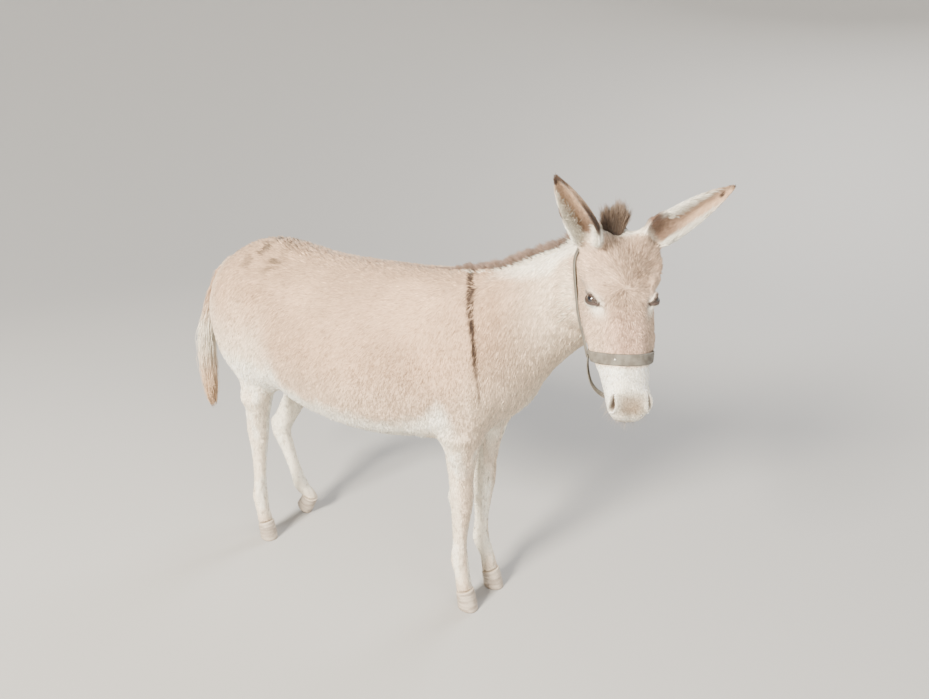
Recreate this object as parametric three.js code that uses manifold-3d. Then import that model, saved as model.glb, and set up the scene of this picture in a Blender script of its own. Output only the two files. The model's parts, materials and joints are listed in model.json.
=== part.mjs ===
// A life-size standing donkey with its head turned to its right, one hind foot rested on the toe,
// wearing a webbing halter. Units are millimetres, +X is forward, +Y is the donkey's left, +Z is up.
//
// The body is described once, as smooth distance fields: tubes of oval section along the spine, neck,
// head and limbs, with the muscles and bones as ovals blended into them. Each node is a ringed skin
// drawn onto those fields, and neighbours are parted by thin cuts.
import * as THREE from "three";
import { mergeVertices } from "three/addons/utils/BufferGeometryUtils.js";
import Module from "manifold-3d";

const wasm = await Module();
wasm.setup();

// ---- Driving dimensions -------------------------------------------------------------------------
const GAP = 0.35; // clearance left by each parting cut
const BACK_HEIGHT = 1026; // floor to the lowest point of the back
const WITHERS_HEIGHT = 1038;
const CROUP_HEIGHT = 1066;
const BELLY_HEIGHT = 520; // floor to the underline
const BELLY_HALF_WIDTH = 258;
const RUMP_X = -950; // the buttocks
const BREAST_X = 222; // the front of the breast
const FORE_FOOT_X = 0;
const FORE_FOOT_Y = 66;
const HIND_FOOT_X = -784;
const HIND_FOOT_Y = 102;
const KNEE_HEIGHT = 370;
const HOCK_HEIGHT = 405;
const FETLOCK_HEIGHT = 160;
const POLL = new THREE.Vector3(424, -82, 1198);
const HEAD_YAW = -58; // degrees, negative turns the face to the donkey's right
const HEAD_PITCH = 54; // degrees below level
const HEAD_ROLL = -1;
// The head, ears and halter are drawn in millimetres of a head 438 long, and set at this size.
const HEAD_SIZE = 0.957;
const HEAD_LENGTH = 438; // poll to lips
const EAR_LENGTH = 246;
const EYE_RADIUS = 18;
const STRAP_WIDTH = 27;
const STRAP_THICKNESS = 3;
const STRAP_STANDOFF = 2; // from the coat to the webbing

const COLOURS = {
  coat: 0xb9a596,
  pale: 0xe2d8c8,
  mane: 0x5b463b,
  hoof: 0x8d8478,
  eye: 0x1d120c,
  strap: 0x8a857d,
};

// ---- Small vector and field helpers -------------------------------------------------------------
const vec = (x, y, z) => new THREE.Vector3(x, y, z);
const mix = (a, b, t) => a + (b - a) * t;
const rad = THREE.MathUtils.degToRad;
const smooth = (lo, hi, x) => THREE.MathUtils.smoothstep(x, lo, hi);

// The smaller of two distances, rounded off over the width k where they are close.
function blend(a, b, k) {
  const h = Math.max(k - Math.abs(a - b), 0) / k;
  return Math.min(a, b) - (h * h * k) / 4;
}

// Takes b out of a, rounded off over the width k.
const carve = (a, b, k) => -blend(-a, b, k);

// The signed distance, nearly, from p to an oval with those half-sizes, turned by the quaternion.
function oval(centre, radii, turn = new THREE.Quaternion()) {
  const back = turn.clone().invert();
  const q = vec();
  return (p) => {
    q.copy(p).sub(centre).applyQuaternion(back);
    const k0 = Math.hypot(q.x / radii.x, q.y / radii.y, q.z / radii.z);
    const k1 = Math.hypot(q.x / radii.x ** 2, q.y / radii.y ** 2, q.z / radii.z ** 2);
    return k1 < 1e-9 ? -Math.min(radii.x, radii.y, radii.z) : (k0 * (k0 - 1)) / k1;
  };
}

// A smooth value through evenly numbered keys, Catmull-Rom.
function through(keys, t) {
  const i = Math.min(Math.floor(t), keys.length - 2);
  const f = t - i;
  const at = (n) => keys[THREE.MathUtils.clamp(n, 0, keys.length - 1)];
  const [a, b, c, d] = [at(i - 1), at(i), at(i + 1), at(i + 2)];
  return b + 0.5 * f * (c - a + f * (2 * a - 5 * b + 4 * c - d + f * (3 * (b - c) + d - a)));
}

// A tube of oval section along stations [x, y, z, half-width, radius above, radius below, lean].
// "Above" is the side that tangent x lateral points to: up on a spine that runs forward, and
// forward on a limb that runs down. A positive lean makes the section wider above than below.
function tube(stations, { caps = [30, 30], steps = 5, power = 2, lateral = vec(0, 1, 0) } = {}) {
  const count = (stations.length - 1) * steps;
  const rows = Array.from({ length: count + 1 }, (_, i) =>
    Array.from({ length: 7 }, (_, k) => through(stations.map((s) => s[k] ?? 0), i / steps)),
  );
  const points = rows.map((r) => vec(r[0], r[1], r[2]));
  const segments = points.slice(1).map((b, i) => {
    const along = b.clone().sub(points[i]);
    const length = along.length();
    const tangent = along.clone().divideScalar(length);
    const above = tangent.clone().cross(lateral).normalize();
    const side = above.clone().cross(tangent);
    return { a: points[i], tangent, length, above, side, from: rows[i], to: rows[i + 1], i };
  });
  const q = vec();
  const INNER_CAP = 30; // how far each length reaches past its own ends, to close the bends
  const field = (p) => {
    let best = Infinity;
    for (const s of segments) {
      q.copy(p).sub(s.a);
      const along = q.dot(s.tangent);
      const t = THREE.MathUtils.clamp(along / s.length, 0, 1);
      const over = along - t * s.length;
      const v = q.dot(s.above);
      const deep = mix(s.from[v > 0 ? 4 : 5], s.to[v > 0 ? 4 : 5], t);
      const lean = mix(s.from[6], s.to[6], t);
      const share = THREE.MathUtils.clamp(v / deep, -1, 1);
      const wide = mix(s.from[3], s.to[3], t) * (1 + lean * share);
      const cap =
        over < 0 && s.i === 0 ? caps[0] : over > 0 && s.i === count - 1 ? caps[1] : INNER_CAP;
      const u = q.dot(s.side);
      const k =
        (Math.abs(u / wide) ** power + Math.abs(v / deep) ** power + Math.abs(over / cap) ** power) **
        (1 / power);
      const r = Math.hypot(u, v, over);
      best = Math.min(best, k < 1e-6 ? -Math.min(wide, deep) : r * (1 - 1 / k));
    }
    return best;
  };
  // The tube's own centre line and frame at t from 0 to 1.
  field.at = (t) => {
    const x = THREE.MathUtils.clamp(t, 0, 1) * count;
    const s = segments[Math.min(Math.floor(x), count - 1)];
    const next = segments[Math.min(s.i + 1, count - 1)];
    const before = segments[Math.max(s.i - 1, 0)];
    const f = x - s.i;
    const tangent = before.tangent
      .clone()
      .multiplyScalar(Math.max(0.5 - f, 0))
      .addScaledVector(s.tangent, 1 - Math.abs(f - 0.5))
      .addScaledVector(next.tangent, Math.max(f - 0.5, 0))
      .normalize();
    const above = tangent.clone().cross(lateral).normalize();
    return {
      centre: s.a.clone().addScaledVector(s.tangent, f * s.length),
      tangent,
      above,
      side: above.clone().cross(tangent),
    };
  };
  return field;
}

// ---- Meshes -------------------------------------------------------------------------------------

// How far from origin, along the unit direction, a field reaches the level: the first crossing.
function reach(field, origin, direction, level, limit) {
  const STEP = 6;
  const p = vec();
  const value = (d) => field(p.copy(origin).addScaledVector(direction, d)) - level;
  let inside = 0;
  for (let d = STEP; d < limit; d += STEP) {
    if (value(d) > 0) {
      let outside = d;
      for (let n = 0; n < 12; n++) {
        const middle = (inside + outside) / 2;
        if (value(middle) > 0) outside = middle;
        else inside = middle;
      }
      return inside;
    }
    inside = d;
  }
  return limit;
}

// A closed surface over rings of points, each ring the same length, with a point at each end.
function closedRings(rings, first, last) {
  const n = rings[0].length;
  const points = [first, ...rings.flat(), last];
  const at = (r, i) => 1 + r * n + (i % n);
  const faces = [];
  for (let i = 0; i < n; i++) {
    faces.push(0, at(0, i + 1), at(0, i));
    for (let r = 0; r < rings.length - 1; r++) {
      const [a, b, c, d] = [at(r, i), at(r, i + 1), at(r + 1, i + 1), at(r + 1, i)];
      const even = (r + i) % 2 === 0; // so that a solid and its grown cutter have the same facets
      faces.push(...(even ? [a, b, c, a, c, d] : [a, b, d, b, c, d]));
    }
    faces.push(points.length - 1, at(rings.length - 1, i), at(rings.length - 1, i + 1));
  }
  const geometry = new THREE.BufferGeometry();
  geometry.setFromPoints(points);
  geometry.setIndex(faces);
  return outward(geometry);
}

// Turns a closed surface's faces round if they point in.
function outward(geometry) {
  const p = geometry.getAttribute("position");
  const index = geometry.index.array;
  const [a, b, c] = [vec(), vec(), vec()];
  let volume = 0;
  for (let i = 0; i < index.length; i += 3) {
    a.fromBufferAttribute(p, index[i]);
    b.fromBufferAttribute(p, index[i + 1]);
    c.fromBufferAttribute(p, index[i + 2]);
    volume += a.dot(b.cross(c));
  }
  if (volume > 0) return geometry;
  for (let i = 0; i < index.length; i += 3) {
    const second = index[i + 1];
    index[i + 1] = index[i + 2];
    index[i + 2] = second;
  }
  return geometry;
}

const middleOf = (ring) => ring.reduce((sum, p) => sum.add(p), vec(0, 0, 0)).divideScalar(ring.length);

// Rings drawn onto a field: frames give each ring's centre and axes, and each point is where the
// field crosses the level, straight out from the centre.
function skinned(field, frames, sides, { level = 0, limit = 420 } = {}) {
  const rings = frames.map(({ centre, side, above }) =>
    Array.from({ length: sides }, (_, i) => {
      const angle = ((i + 0.5) / sides) * 2 * Math.PI;
      const out = side.clone().multiplyScalar(Math.cos(angle)).addScaledVector(above, Math.sin(angle));
      return centre.clone().addScaledVector(out, reach(field, centre, out, level, limit));
    }),
  );
  const [first, last] = [frames[0], frames[frames.length - 1]];
  const end = (frame, sign) => {
    const out = frame.tangent.clone().multiplyScalar(sign);
    const ahead = frame.flat ? 0 : Math.max(reach(field, frame.centre, out, level, limit), 0.5);
    return frame.centre.clone().addScaledVector(out, ahead);
  };
  return closedRings(rings, end(first, -1), end(last, 1));
}

function solid(geometry) {
  const bare = geometry.index ? geometry.toNonIndexed() : geometry.clone();
  bare.deleteAttribute("normal");
  bare.deleteAttribute("uv");
  const merged = mergeVertices(bare, 1e-3);
  return new wasm.Manifold(
    new wasm.Mesh({
      numProp: 3,
      vertProperties: new Float32Array(merged.attributes.position.array),
      triVerts: new Uint32Array(merged.index.array),
    }),
  );
}

// The largest closed body of a solid, as a geometry.
function geometryOf(made) {
  const bodies = made.decompose().sort((a, b) => b.volume() - a.volume());
  const mesh = bodies[0].getMesh();
  const geometry = new THREE.BufferGeometry();
  const points = new Float32Array(mesh.numVert * 3);
  for (let i = 0; i < mesh.numVert; i++)
    points.set(mesh.vertProperties.subarray(i * mesh.numProp, i * mesh.numProp + 3), i * 3);
  geometry.setAttribute("position", new THREE.BufferAttribute(points, 3));
  geometry.setIndex(new THREE.BufferAttribute(new Uint32Array(mesh.triVerts), 1));
  geometry.computeVertexNormals();
  return geometry;
}

function named(name, geometry, colour, roughness = 0.9) {
  geometry.computeVertexNormals();
  const material = new THREE.MeshStandardMaterial({ color: colour, roughness, metalness: 0 });
  const mesh = new THREE.Mesh(geometry, material);
  mesh.name = name;
  return mesh;
}

// ---- Trunk --------------------------------------------------------------------------------------

// [x, top, underline, half-width, lean] down the trunk, from the rump to the breast.
const TRUNK_PROFILE = [
  [RUMP_X + 85, CROUP_HEIGHT - 72, 710, 126, -0.12],
  [-785, CROUP_HEIGHT - 18, 656, 158, -0.16],
  [-700, CROUP_HEIGHT, 618, 180, -0.16],
  [-600, CROUP_HEIGHT - 18, BELLY_HEIGHT + 52, 206, -0.14],
  [-480, BACK_HEIGHT + 4, BELLY_HEIGHT + 16, 238, -0.1],
  [-340, BACK_HEIGHT, BELLY_HEIGHT, BELLY_HALF_WIDTH, -0.12],
  [-210, BACK_HEIGHT + 2, BELLY_HEIGHT + 6, BELLY_HALF_WIDTH - 6, -0.14],
  [-90, BACK_HEIGHT + 8, BELLY_HEIGHT + 32, 212, -0.16],
  [10, WITHERS_HEIGHT, BELLY_HEIGHT + 58, 166, -0.12],
  [90, 1012, 592, 132, -0.02],
  [BREAST_X - 55, 925, 652, 98, 0],
];

// Turns [x, top, underline, half-width, lean] into a station of a tube.
function fromProfile([x, top, low, wide, lean]) {
  const half = (top - low) / 2;
  return [x, 0, low + half, wide, half, half, lean];
}
const trunkTube = tube(TRUNK_PROFILE.map(fromProfile), { caps: [85, 52], power: 2.05 });

// The hip, thigh and stifle of one side, down to where the gaskin leaves the body.
function haunch(sign, drop) {
  return tube(
    [
      [-742, sign * 86, 912 - drop, 74, 96, 112],
      [-752, sign * 102, 810 - drop, 80, 118, 148],
      [-746, sign * 108, 715 - drop, 73, 108, 138],
      [-742, sign * 108, 640 - drop, 58, 84, 98],
      [-744, sign * 105, 575 - drop, 44, 56, 58],
    ],
    { caps: [90, 20] },
  );
}

// The shoulder blade, upper arm and elbow of one side.
function shoulder(sign) {
  return tube(
    [
      [-5, sign * 84, 930, 50, 84, 92],
      [58, sign * 102, 830, 58, 92, 110],
      [72, sign * 104, 742, 56, 84, 112],
      [36, sign * 98, 668, 50, 70, 80],
      [20, sign * 90, 604, 43, 54, 54],
    ],
    { caps: [80, 20] },
  );
}

const haunches = [haunch(-1, 0), haunch(1, 16)];
const shoulders = [shoulder(-1), shoulder(1)];
// The hip bones stand a little out of the loin.
const hipBones = [-1, 1].map((s) => oval(vec(-652, s * 136, 950), vec(58, 34, 40)));

function trunkField(p) {
  let d = trunkTube(p);
  for (const part of haunches) d = blend(d, part(p), 60);
  for (const part of shoulders) d = blend(d, part(p), 56);
  for (const bone of hipBones) d = blend(d, bone(p), 40);
  return d;
}

// ---- Neck ---------------------------------------------------------------------------------------
const neckTube = tube(
  [
    [-30, 0, 832, 112, 165, 200, -0.1],
    [70, 0, 884, 98, 152, 178, -0.12],
    [165, 2, 935, 86, 142, 160, -0.14],
    [250, 0, 990, 76, 130, 138, -0.12],
    [322, -10, 1046, 67, 110, 114, -0.08],
    [382, -32, 1106, 60, 88, 88, 0],
  ],
  { caps: [60, 46] },
);

// ---- Head, in its own frame: X runs from the poll to the lips, Z up off the forehead -------------
const headTurn = new THREE.Euler(rad(HEAD_ROLL), rad(HEAD_PITCH), rad(HEAD_YAW), "ZYX");
const headFrame = new THREE.Matrix4().compose(
  POLL,
  new THREE.Quaternion().setFromEuler(headTurn),
  vec(HEAD_SIZE, HEAD_SIZE, HEAD_SIZE),
);
const toHead = headFrame.clone().invert();
const EYE_CENTRE = vec(0.373 * HEAD_LENGTH, 65, -37);

// [x, top, underline, half-width, lean] from the poll to the lips.
const HEAD_PROFILE = [
  [-6, -16, -104, 46, 0],
  [28, 0, -165, 62, 0],
  [72, 8, -196, 74, -0.02],
  [120, 8, -198, 80, -0.04],
  [165, 4, -186, 82, -0.08],
  [205, -2, -168, 79, -0.12],
  [245, -8, -149, 72, -0.13],
  [285, -13, -132, 62, -0.1],
  [325, -18, -119, 55, -0.08],
  [360, -24, -114, 50, -0.04],
  [390, -32, -110, 46, 0.04],
  [HEAD_LENGTH - 26, -46, -106, 39, 0.06],
];

const headTube = tube(HEAD_PROFILE.map(fromProfile), { caps: [20, 22], power: 2.45 });

// Bumps on both sides of the head: [centre, half-sizes, blend width], y given for the left side.
const HEAD_BUMPS = [
  [vec(EYE_CENTRE.x - 6, 53, EYE_CENTRE.z + 2), vec(38, 21, 26), 16], // orbit
  [vec(EYE_CENTRE.x - 34, 68, -17), vec(28, 24, 17), 18], // brow
  [vec(150, 55, -134), vec(76, 27, 50), 24], // cheek muscle
  [vec(228, 66, -80), vec(58, 11, 9), 20], // facial crest
  [vec(396, 35, -54), vec(27, 16, 23), 14], // nostril wing
  [vec(30, 48, -12), vec(36, 26, 24), 26], // root of the ear
  [vec(76, 66, -34), vec(44, 36, 34), 22], // temple, with the long hair below the ear
];
const headBumps = HEAD_BUMPS.flatMap(([centre, radii, width]) =>
  [-1, 1].map((s) => ({ field: oval(vec(centre.x, s * centre.y, centre.z), radii), width })),
);
const upperLip = oval(vec(HEAD_LENGTH - 25, 0, -82), vec(23, 33, 27));
const chin = oval(vec(HEAD_LENGTH - 50, 0, -108), vec(34, 27, 19));

function headField(q) {
  let d = headTube(q);
  for (const bump of headBumps) d = blend(d, bump.field(q), bump.width);
  d = blend(d, upperLip(q), 16);
  d = blend(d, chin(q), 14);
  return d;
}

// The hollow above each eye, behind the brow.
const templeDents = [-1, 1].map((s) => oval(vec(88, s * 58, 8), vec(26, 13, 13)));

// ---- Hooves -------------------------------------------------------------------------------------
const HOOF = { length: 70, width: 56, topLength: 58, topWidth: 54, height: 58, slope: 0.36, lean: 12 };

// A hoof in its own frame: the sole on Z = 0, X forward, the coronet sloping down to the heel.
function hoofGeometry({ length, width, topLength, topWidth, height, slope, lean }) {
  const SIDES = 14;
  const RINGS = 4;
  const rings = Array.from({ length: RINGS + 1 }, (_, r) => {
    const t = r / RINGS;
    return Array.from({ length: SIDES }, (_, i) => {
      const angle = (i / SIDES) * 2 * Math.PI;
      const [c, s] = [Math.cos(angle), Math.sin(angle)];
      const heelSquare = c < 0 ? 0.86 : 1;
      const x = (mix(length, topLength, t) / 2) * c * heelSquare - lean * t;
      const y = (mix(width, topWidth, t) / 2) * Math.sign(s) * Math.abs(s) ** 0.9;
      return vec(x, y, t * (height + slope * (x + lean)));
    });
  });
  return closedRings(rings, vec(0, 0, 0), vec(-lean, 0, height));
}

const LEFT_HIND_TIP = 42; // degrees that the rested hoof is tipped forward
// Where each hoof stands, and how far its toe is turned out, in degrees to the left.
const HOOVES = [
  { at: vec(FORE_FOOT_X + 28, -FORE_FOOT_Y, 0), tip: 0, turn: -8 },
  { at: vec(FORE_FOOT_X + 46, FORE_FOOT_Y, 0), tip: 0, turn: 6 },
  { at: vec(HIND_FOOT_X + 18, -HIND_FOOT_Y, 0), tip: 0, turn: -16 },
  { at: vec(-772, 88, 20), tip: LEFT_HIND_TIP, turn: 8 },
];

const floorBlock = new THREE.BoxGeometry(4000, 4000, 400).translate(0, 0, -200);
const floorCutter = solid(floorBlock);

function hoofMatrix({ at, tip, turn }) {
  const matrix = new THREE.Matrix4().makeRotationZ(rad(turn));
  return matrix.multiply(new THREE.Matrix4().makeRotationY(rad(tip))).setPosition(at);
}

const hoofSolid = (hoof) => solid(hoofGeometry(HOOF).applyMatrix4(hoofMatrix(hoof))).subtract(floorCutter);

// The middle of a hoof's coronet, and the way its plane faces, up the leg.
function coronet(hoof) {
  const matrix = hoofMatrix(hoof);
  return {
    centre: vec(-HOOF.lean, 0, HOOF.height).applyMatrix4(matrix),
    up: vec(-HOOF.slope, 0, 1).transformDirection(matrix),
  };
}

// A limb's last two stations: square onto the coronet, and on into the hoof.
function pasternEnd(hoof) {
  const SINK = 30;
  const { centre, up } = coronet(hoof);
  const inside = centre.clone().addScaledVector(up, -SINK);
  return [centre, inside].map((p) => [...p.toArray(), 26, 28, 28]);
}

// ---- Limbs --------------------------------------------------------------------------------------

// A fore leg, from the elbow to the hoof. side is -1 for the right; ahead moves the foot forward.
function foreLeg(side, ahead, hoof) {
  const x = FORE_FOOT_X;
  const y = side * FORE_FOOT_Y;
  return tube(
    [
      [x + 18, y + side * 26, 680, 52, 70, 70],
      [x + 20, y + side * 20, 606, 48, 56, 54],
      [x + 12, y + side * 12, 530, 39, 48, 44],
      [x + 8, y + side * 6, 450, 30, 36, 34],
      [x + 9, y + side * 2, KNEE_HEIGHT + 12, 30, 35, 32],
      [x + 6, y, KNEE_HEIGHT - 38, 26, 29, 29],
      [x + 3, y, KNEE_HEIGHT - 110, 21, 24, 26],
      [x + 1, y, FETLOCK_HEIGHT + 42, 21, 24, 26],
      [x + 1, y, FETLOCK_HEIGHT, 26, 28, 30],
      [x + 10 + 0.7 * ahead, y, FETLOCK_HEIGHT - 48, 23, 24, 25],
      ...pasternEnd(hoof),
    ],
    { caps: [60, 20] },
  );
}

// A hind leg, from the stifle to the hoof, through joints given as [x, y, z].
function hindLeg(side, { gaskin, hock, fetlock, pastern }, hoof) {
  const between = (a, b, t) => a.map((v, i) => mix(v, b[i], t));
  const [stifle, shank] = [[-742, side * 104, 640], between(gaskin, hock, 0.62)];
  return tube(
    [
      [...stifle, 60, 80, 88],
      [...gaskin, 43, 48, 48],
      [...shank, 34, 38, 42],
      [...hock, 31, 38, 40],
      [...between(hock, fetlock, 0.28), 25, 29, 30],
      [...between(hock, fetlock, 0.6), 21, 24, 26],
      [...between(hock, fetlock, 0.84), 22, 24, 26],
      [...fetlock, 26, 27, 30],
      [...pastern, 23, 24, 26],
      ...pasternEnd(hoof),
    ],
    { caps: [50, 20] },
  );
}

const RIGHT_HIND = {
  gaskin: [-746, -104, 540],
  hock: [-764, -100, HOCK_HEIGHT],
  fetlock: [HIND_FOOT_X - 2, -HIND_FOOT_Y, FETLOCK_HEIGHT],
  pastern: [HIND_FOOT_X + 2, -HIND_FOOT_Y, FETLOCK_HEIGHT - 48],
};
// The left hind leg is rested: the hock drops, and the foot tips onto its toe.
const LEFT_HIND = {
  gaskin: [-766, 98, 490],
  hock: [-856, 90, 322],
  fetlock: [-782, 88, 118],
  pastern: [-764, 88, 94],
};

// Bony points: the one at the back of each knee, and the point of each hock.
const kneeBone = (s) => oval(vec(FORE_FOOT_X - 24, s * FORE_FOOT_Y, KNEE_HEIGHT + 8), vec(14, 15, 22));
const hockBone = ([x, y, z]) => oval(vec(x - 30, y, z + 26), vec(17, 15, 34));

const LIMB_WIDTH = 40; // how far a limb's root spreads over the trunk
// top is how far down its own tube each limb's skin starts.
const [RIGHT_FORE_HOOF, LEFT_FORE_HOOF, RIGHT_HIND_HOOF, LEFT_HIND_HOOF] = HOOVES;
const LIMBS = [
  { name: "fore_right", own: foreLeg(-1, 0, RIGHT_FORE_HOOF), bump: kneeBone(-1), top: 0.09 },
  { name: "fore_left", own: foreLeg(1, 18, LEFT_FORE_HOOF), bump: kneeBone(1), top: 0.09 },
  {
    name: "hind_right",
    own: hindLeg(-1, RIGHT_HIND, RIGHT_HIND_HOOF),
    bump: hockBone(RIGHT_HIND.hock),
    top: 0.08,
  },
  {
    name: "hind_left",
    own: hindLeg(1, LEFT_HIND, LEFT_HIND_HOOF),
    bump: hockBone(LEFT_HIND.hock),
    top: 0.08,
  },
];

// ---- Nodes of flesh -----------------------------------------------------------------------------

// Numbers from 0 to 1 that crowd towards both ends.
function crowded(n) {
  return Array.from({ length: n }, (_, i) => 0.5 - 0.5 * Math.cos((Math.PI * (i + 0.5)) / n));
}
// A frame square to a length that runs forward.
const upright = (x, z) => ({
  centre: vec(x, 0, z),
  tangent: vec(1, 0, 0),
  side: vec(0, 1, 0),
  above: vec(0, 0, 1),
});

function trunkFrames(rings) {
  const spineHeight = (x) => mix(820, 800, smooth(-200, 200, x)) + 12 * smooth(-700, -900, x);
  return crowded(rings).map((t) => {
    const x = mix(RUMP_X + 3, BREAST_X - 3, t);
    return upright(x, spineHeight(x));
  });
}

const TRUNK_RINGS = 30;
const TRUNK_SIDES = 24;
const trunkSkin = (level) => skinned(trunkField, trunkFrames(TRUNK_RINGS), TRUNK_SIDES, { level });
const trunk = solid(trunkSkin(0));
const trunkCutter = solid(trunkSkin(GAP));

const NECK_WIDTH = 64; // how far the neck's root spreads over the shoulders
const neckAndTrunk = (p) => {
  const own = neckTube(p);
  return Math.max(blend(trunkField(p), own, NECK_WIDTH), own - 0.6 * NECK_WIDTH);
};
const NECK_RINGS = 12;
const neckFrames = Array.from({ length: NECK_RINGS }, (_, i) =>
  neckTube.at(mix(0.02, 1, i / (NECK_RINGS - 1))),
);
const neckSkin = (level) => solid(skinned(neckAndTrunk, neckFrames, 20, { level, limit: 300 }));
const neck = neckSkin(0).subtract(trunkCutter);
const neckCutter = neckSkin(GAP);

const HEAD_WIDTH = 30; // how far the head's root spreads over the neck
const fromHead = vec();
const headAndNeck = (q) => {
  let own = headField(q);
  for (const dent of templeDents) own = carve(own, dent(q), 16);
  const world = fromHead.copy(q).applyMatrix4(headFrame);
  return Math.max(blend(neckTube(world), own, HEAD_WIDTH), own - 0.6 * HEAD_WIDTH);
};
const HEAD_RINGS = 30;
const headFrames = crowded(HEAD_RINGS).map((t) => upright(mix(-24, HEAD_LENGTH - 2, t), -80));
const headSkin = (level) => solid(skinned(headAndNeck, headFrames, 26, { level, limit: 240 }));

const LIMB_RINGS = 20;

function limbSolid({ own, top, bump }, hoof) {
  const field = (p) => {
    const d = blend(own(p), bump(p), 16);
    return Math.max(blend(trunkField(p), d, LIMB_WIDTH), d - 0.6 * LIMB_WIDTH);
  };
  const frames = Array.from({ length: LIMB_RINGS }, (_, r) => own.at(mix(top, 1, r / (LIMB_RINGS - 1))));
  frames[LIMB_RINGS - 1].flat = true;
  const { centre, up } = coronet(hoof);
  return solid(skinned(field, frames, 12, { limit: 150 }))
    .subtract(trunkCutter)
    .trimByPlane(up.toArray(), up.dot(centre) + GAP);
}

// ---- Ears ---------------------------------------------------------------------------------------

// The ear's half-width over its fringe, at even steps from root to tip.
const EAR_HALF_WIDTHS = [24, 36, 42, 41, 37, 30, 21, 8];
const EAR_WALL = 9;

// An ear in its own frame: it stands along +Z and opens towards +X. Each section is an arc of a
// ring, nearly closed at the root and flatter towards the tip. frontShare narrows its +Y half and
// rootSpread widens the root of its -Y half.
function earGeometry(frontShare, rootSpread) {
  const ROWS = 13;
  const ACROSS = 7;
  const rings = Array.from({ length: ROWS }, (_, r) => {
    const t = r / (ROWS - 1);
    const spread = mix(2.6, 1.6, smooth(0, 0.3, t)) - 0.35 * t; // half-angle of the arc
    const half = through(EAR_HALF_WIDTHS, t * (EAR_HALF_WIDTHS.length - 1));
    const radius = half / Math.sin(Math.min(spread, Math.PI / 2));
    const backShare = 1 + rootSpread * (1 - smooth(0.02, 0.42, t));
    const wall = Math.min(mix(EAR_WALL, 5, t), radius * 0.8);
    const bow = radius - 20 - 12 * Math.sin(Math.PI * t); // keeps the back of the ear nearly straight
    const arc = (size, sign) =>
      Array.from({ length: ACROSS }, (_, i) => {
        const a = sign * mix(-spread, spread, i / (ACROSS - 1));
        const across = size * Math.sin(a) * (a > 0 ? frontShare : backShare);
        return vec(bow - size * Math.cos(a), across, t * (EAR_LENGTH - 5));
      });
    return [...arc(radius, 1), ...arc(radius - wall, -1)];
  });
  return closedRings(rings, vec(-14, 0, -3), vec(-22, 0, EAR_LENGTH));
}

// Where each ear stands in the head's frame: root, the way it points and the way it opens, and how
// wide its front half is beside its back half. spread is the fluff at the root of its back half.
const EARS = [
  {
    name: "ear_right",
    root: vec(36, -56, -24),
    tip: vec(-0.2, -0.53, 0.82),
    open: vec(0.86, -0.5, 0.2),
    front: 1,
    spread: 0,
  },
  {
    name: "ear_left",
    root: vec(36, 58, -24),
    tip: vec(-0.46, 0.83, 0.33),
    open: vec(0.45, -0.1, 0.9),
    front: 0.74,
    spread: 0.5,
  },
];

function earMatrix({ root, tip, open }) {
  const up = tip.clone().normalize();
  const front = open.clone().addScaledVector(up, -open.dot(up)).normalize();
  const across = up.clone().cross(front);
  return new THREE.Matrix4().makeBasis(front, across, up).setPosition(root);
}

// ---- Mane and forelock --------------------------------------------------------------------------
const MANE_HEIGHT = 42;
const MANE_THICKNESS = 26;

// The crest line in the world: along the top of the neck, up to the poll.
function crestPoint(t) {
  const frame = neckTube.at(mix(0.16, 1, t));
  const ahead = reach(neckAndTrunk, frame.centre, frame.above, 0, 300);
  const base = frame.centre.clone().addScaledVector(frame.above, ahead);
  return { base, up: frame.above, side: frame.side };
}

function maneSolid(cutters) {
  const ROWS = 17;
  const SINK = 14;
  const half = MANE_THICKNESS / 2;
  const rings = Array.from({ length: ROWS }, (_, r) => {
    const t = r / (ROWS - 1);
    const { base, up, side } = crestPoint(t);
    const rise = MANE_HEIGHT * smooth(-0.05, 0.22, t) * (1 + 0.05 * Math.cos(r * 2.4)) + 6 * t;
    const at = (across, high) => base.clone().addScaledVector(side, across).addScaledVector(up, high);
    return [
      at(-half, -SINK),
      at(half, -SINK),
      at(half * 0.95, rise * 0.45),
      at(half * 0.45, rise * 0.94),
      at(-half * 0.45, rise * 0.94),
      at(-half * 0.95, rise * 0.45),
    ];
  });
  let made = solid(closedRings(rings, middleOf(rings[0]), middleOf(rings[ROWS - 1])));
  for (const cutter of cutters) made = made.subtract(cutter);
  return made;
}

// The tuft that stands up between the ears, in the head's frame, spreading as it rises.
const FORELOCK_HEIGHT = 78;

// grow makes it larger on every side, for cutting its way through the mane.
function forelockGeometry(grow) {
  const ROWS = 6;
  const SIDES = 10;
  const root = vec(6, -10, -16);
  const up = vec(-0.72, 0, 0.69).normalize();
  const ahead = vec(0, 1, 0).cross(up).negate();
  const rings = Array.from({ length: ROWS }, (_, r) => {
    const t = r / (ROWS - 1);
    const across = mix(26, 41, t) * (t > 0.9 ? 0.75 : 1) + grow;
    const deep = mix(18, 13, t) * (t > 0.9 ? 0.7 : 1) + grow;
    return Array.from({ length: SIDES }, (_, i) => {
      const angle = (i / SIDES) * 2 * Math.PI;
      const high = t * FORELOCK_HEIGHT * (1 - 0.12 * Math.sin(angle) ** 2 * t);
      return root
        .clone()
        .addScaledVector(up, high)
        .add(vec(0, across * Math.sin(angle), 0))
        .addScaledVector(ahead, deep * Math.cos(angle));
    });
  });
  return closedRings(rings, middleOf(rings[0]), middleOf(rings[ROWS - 1]));
}

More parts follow.
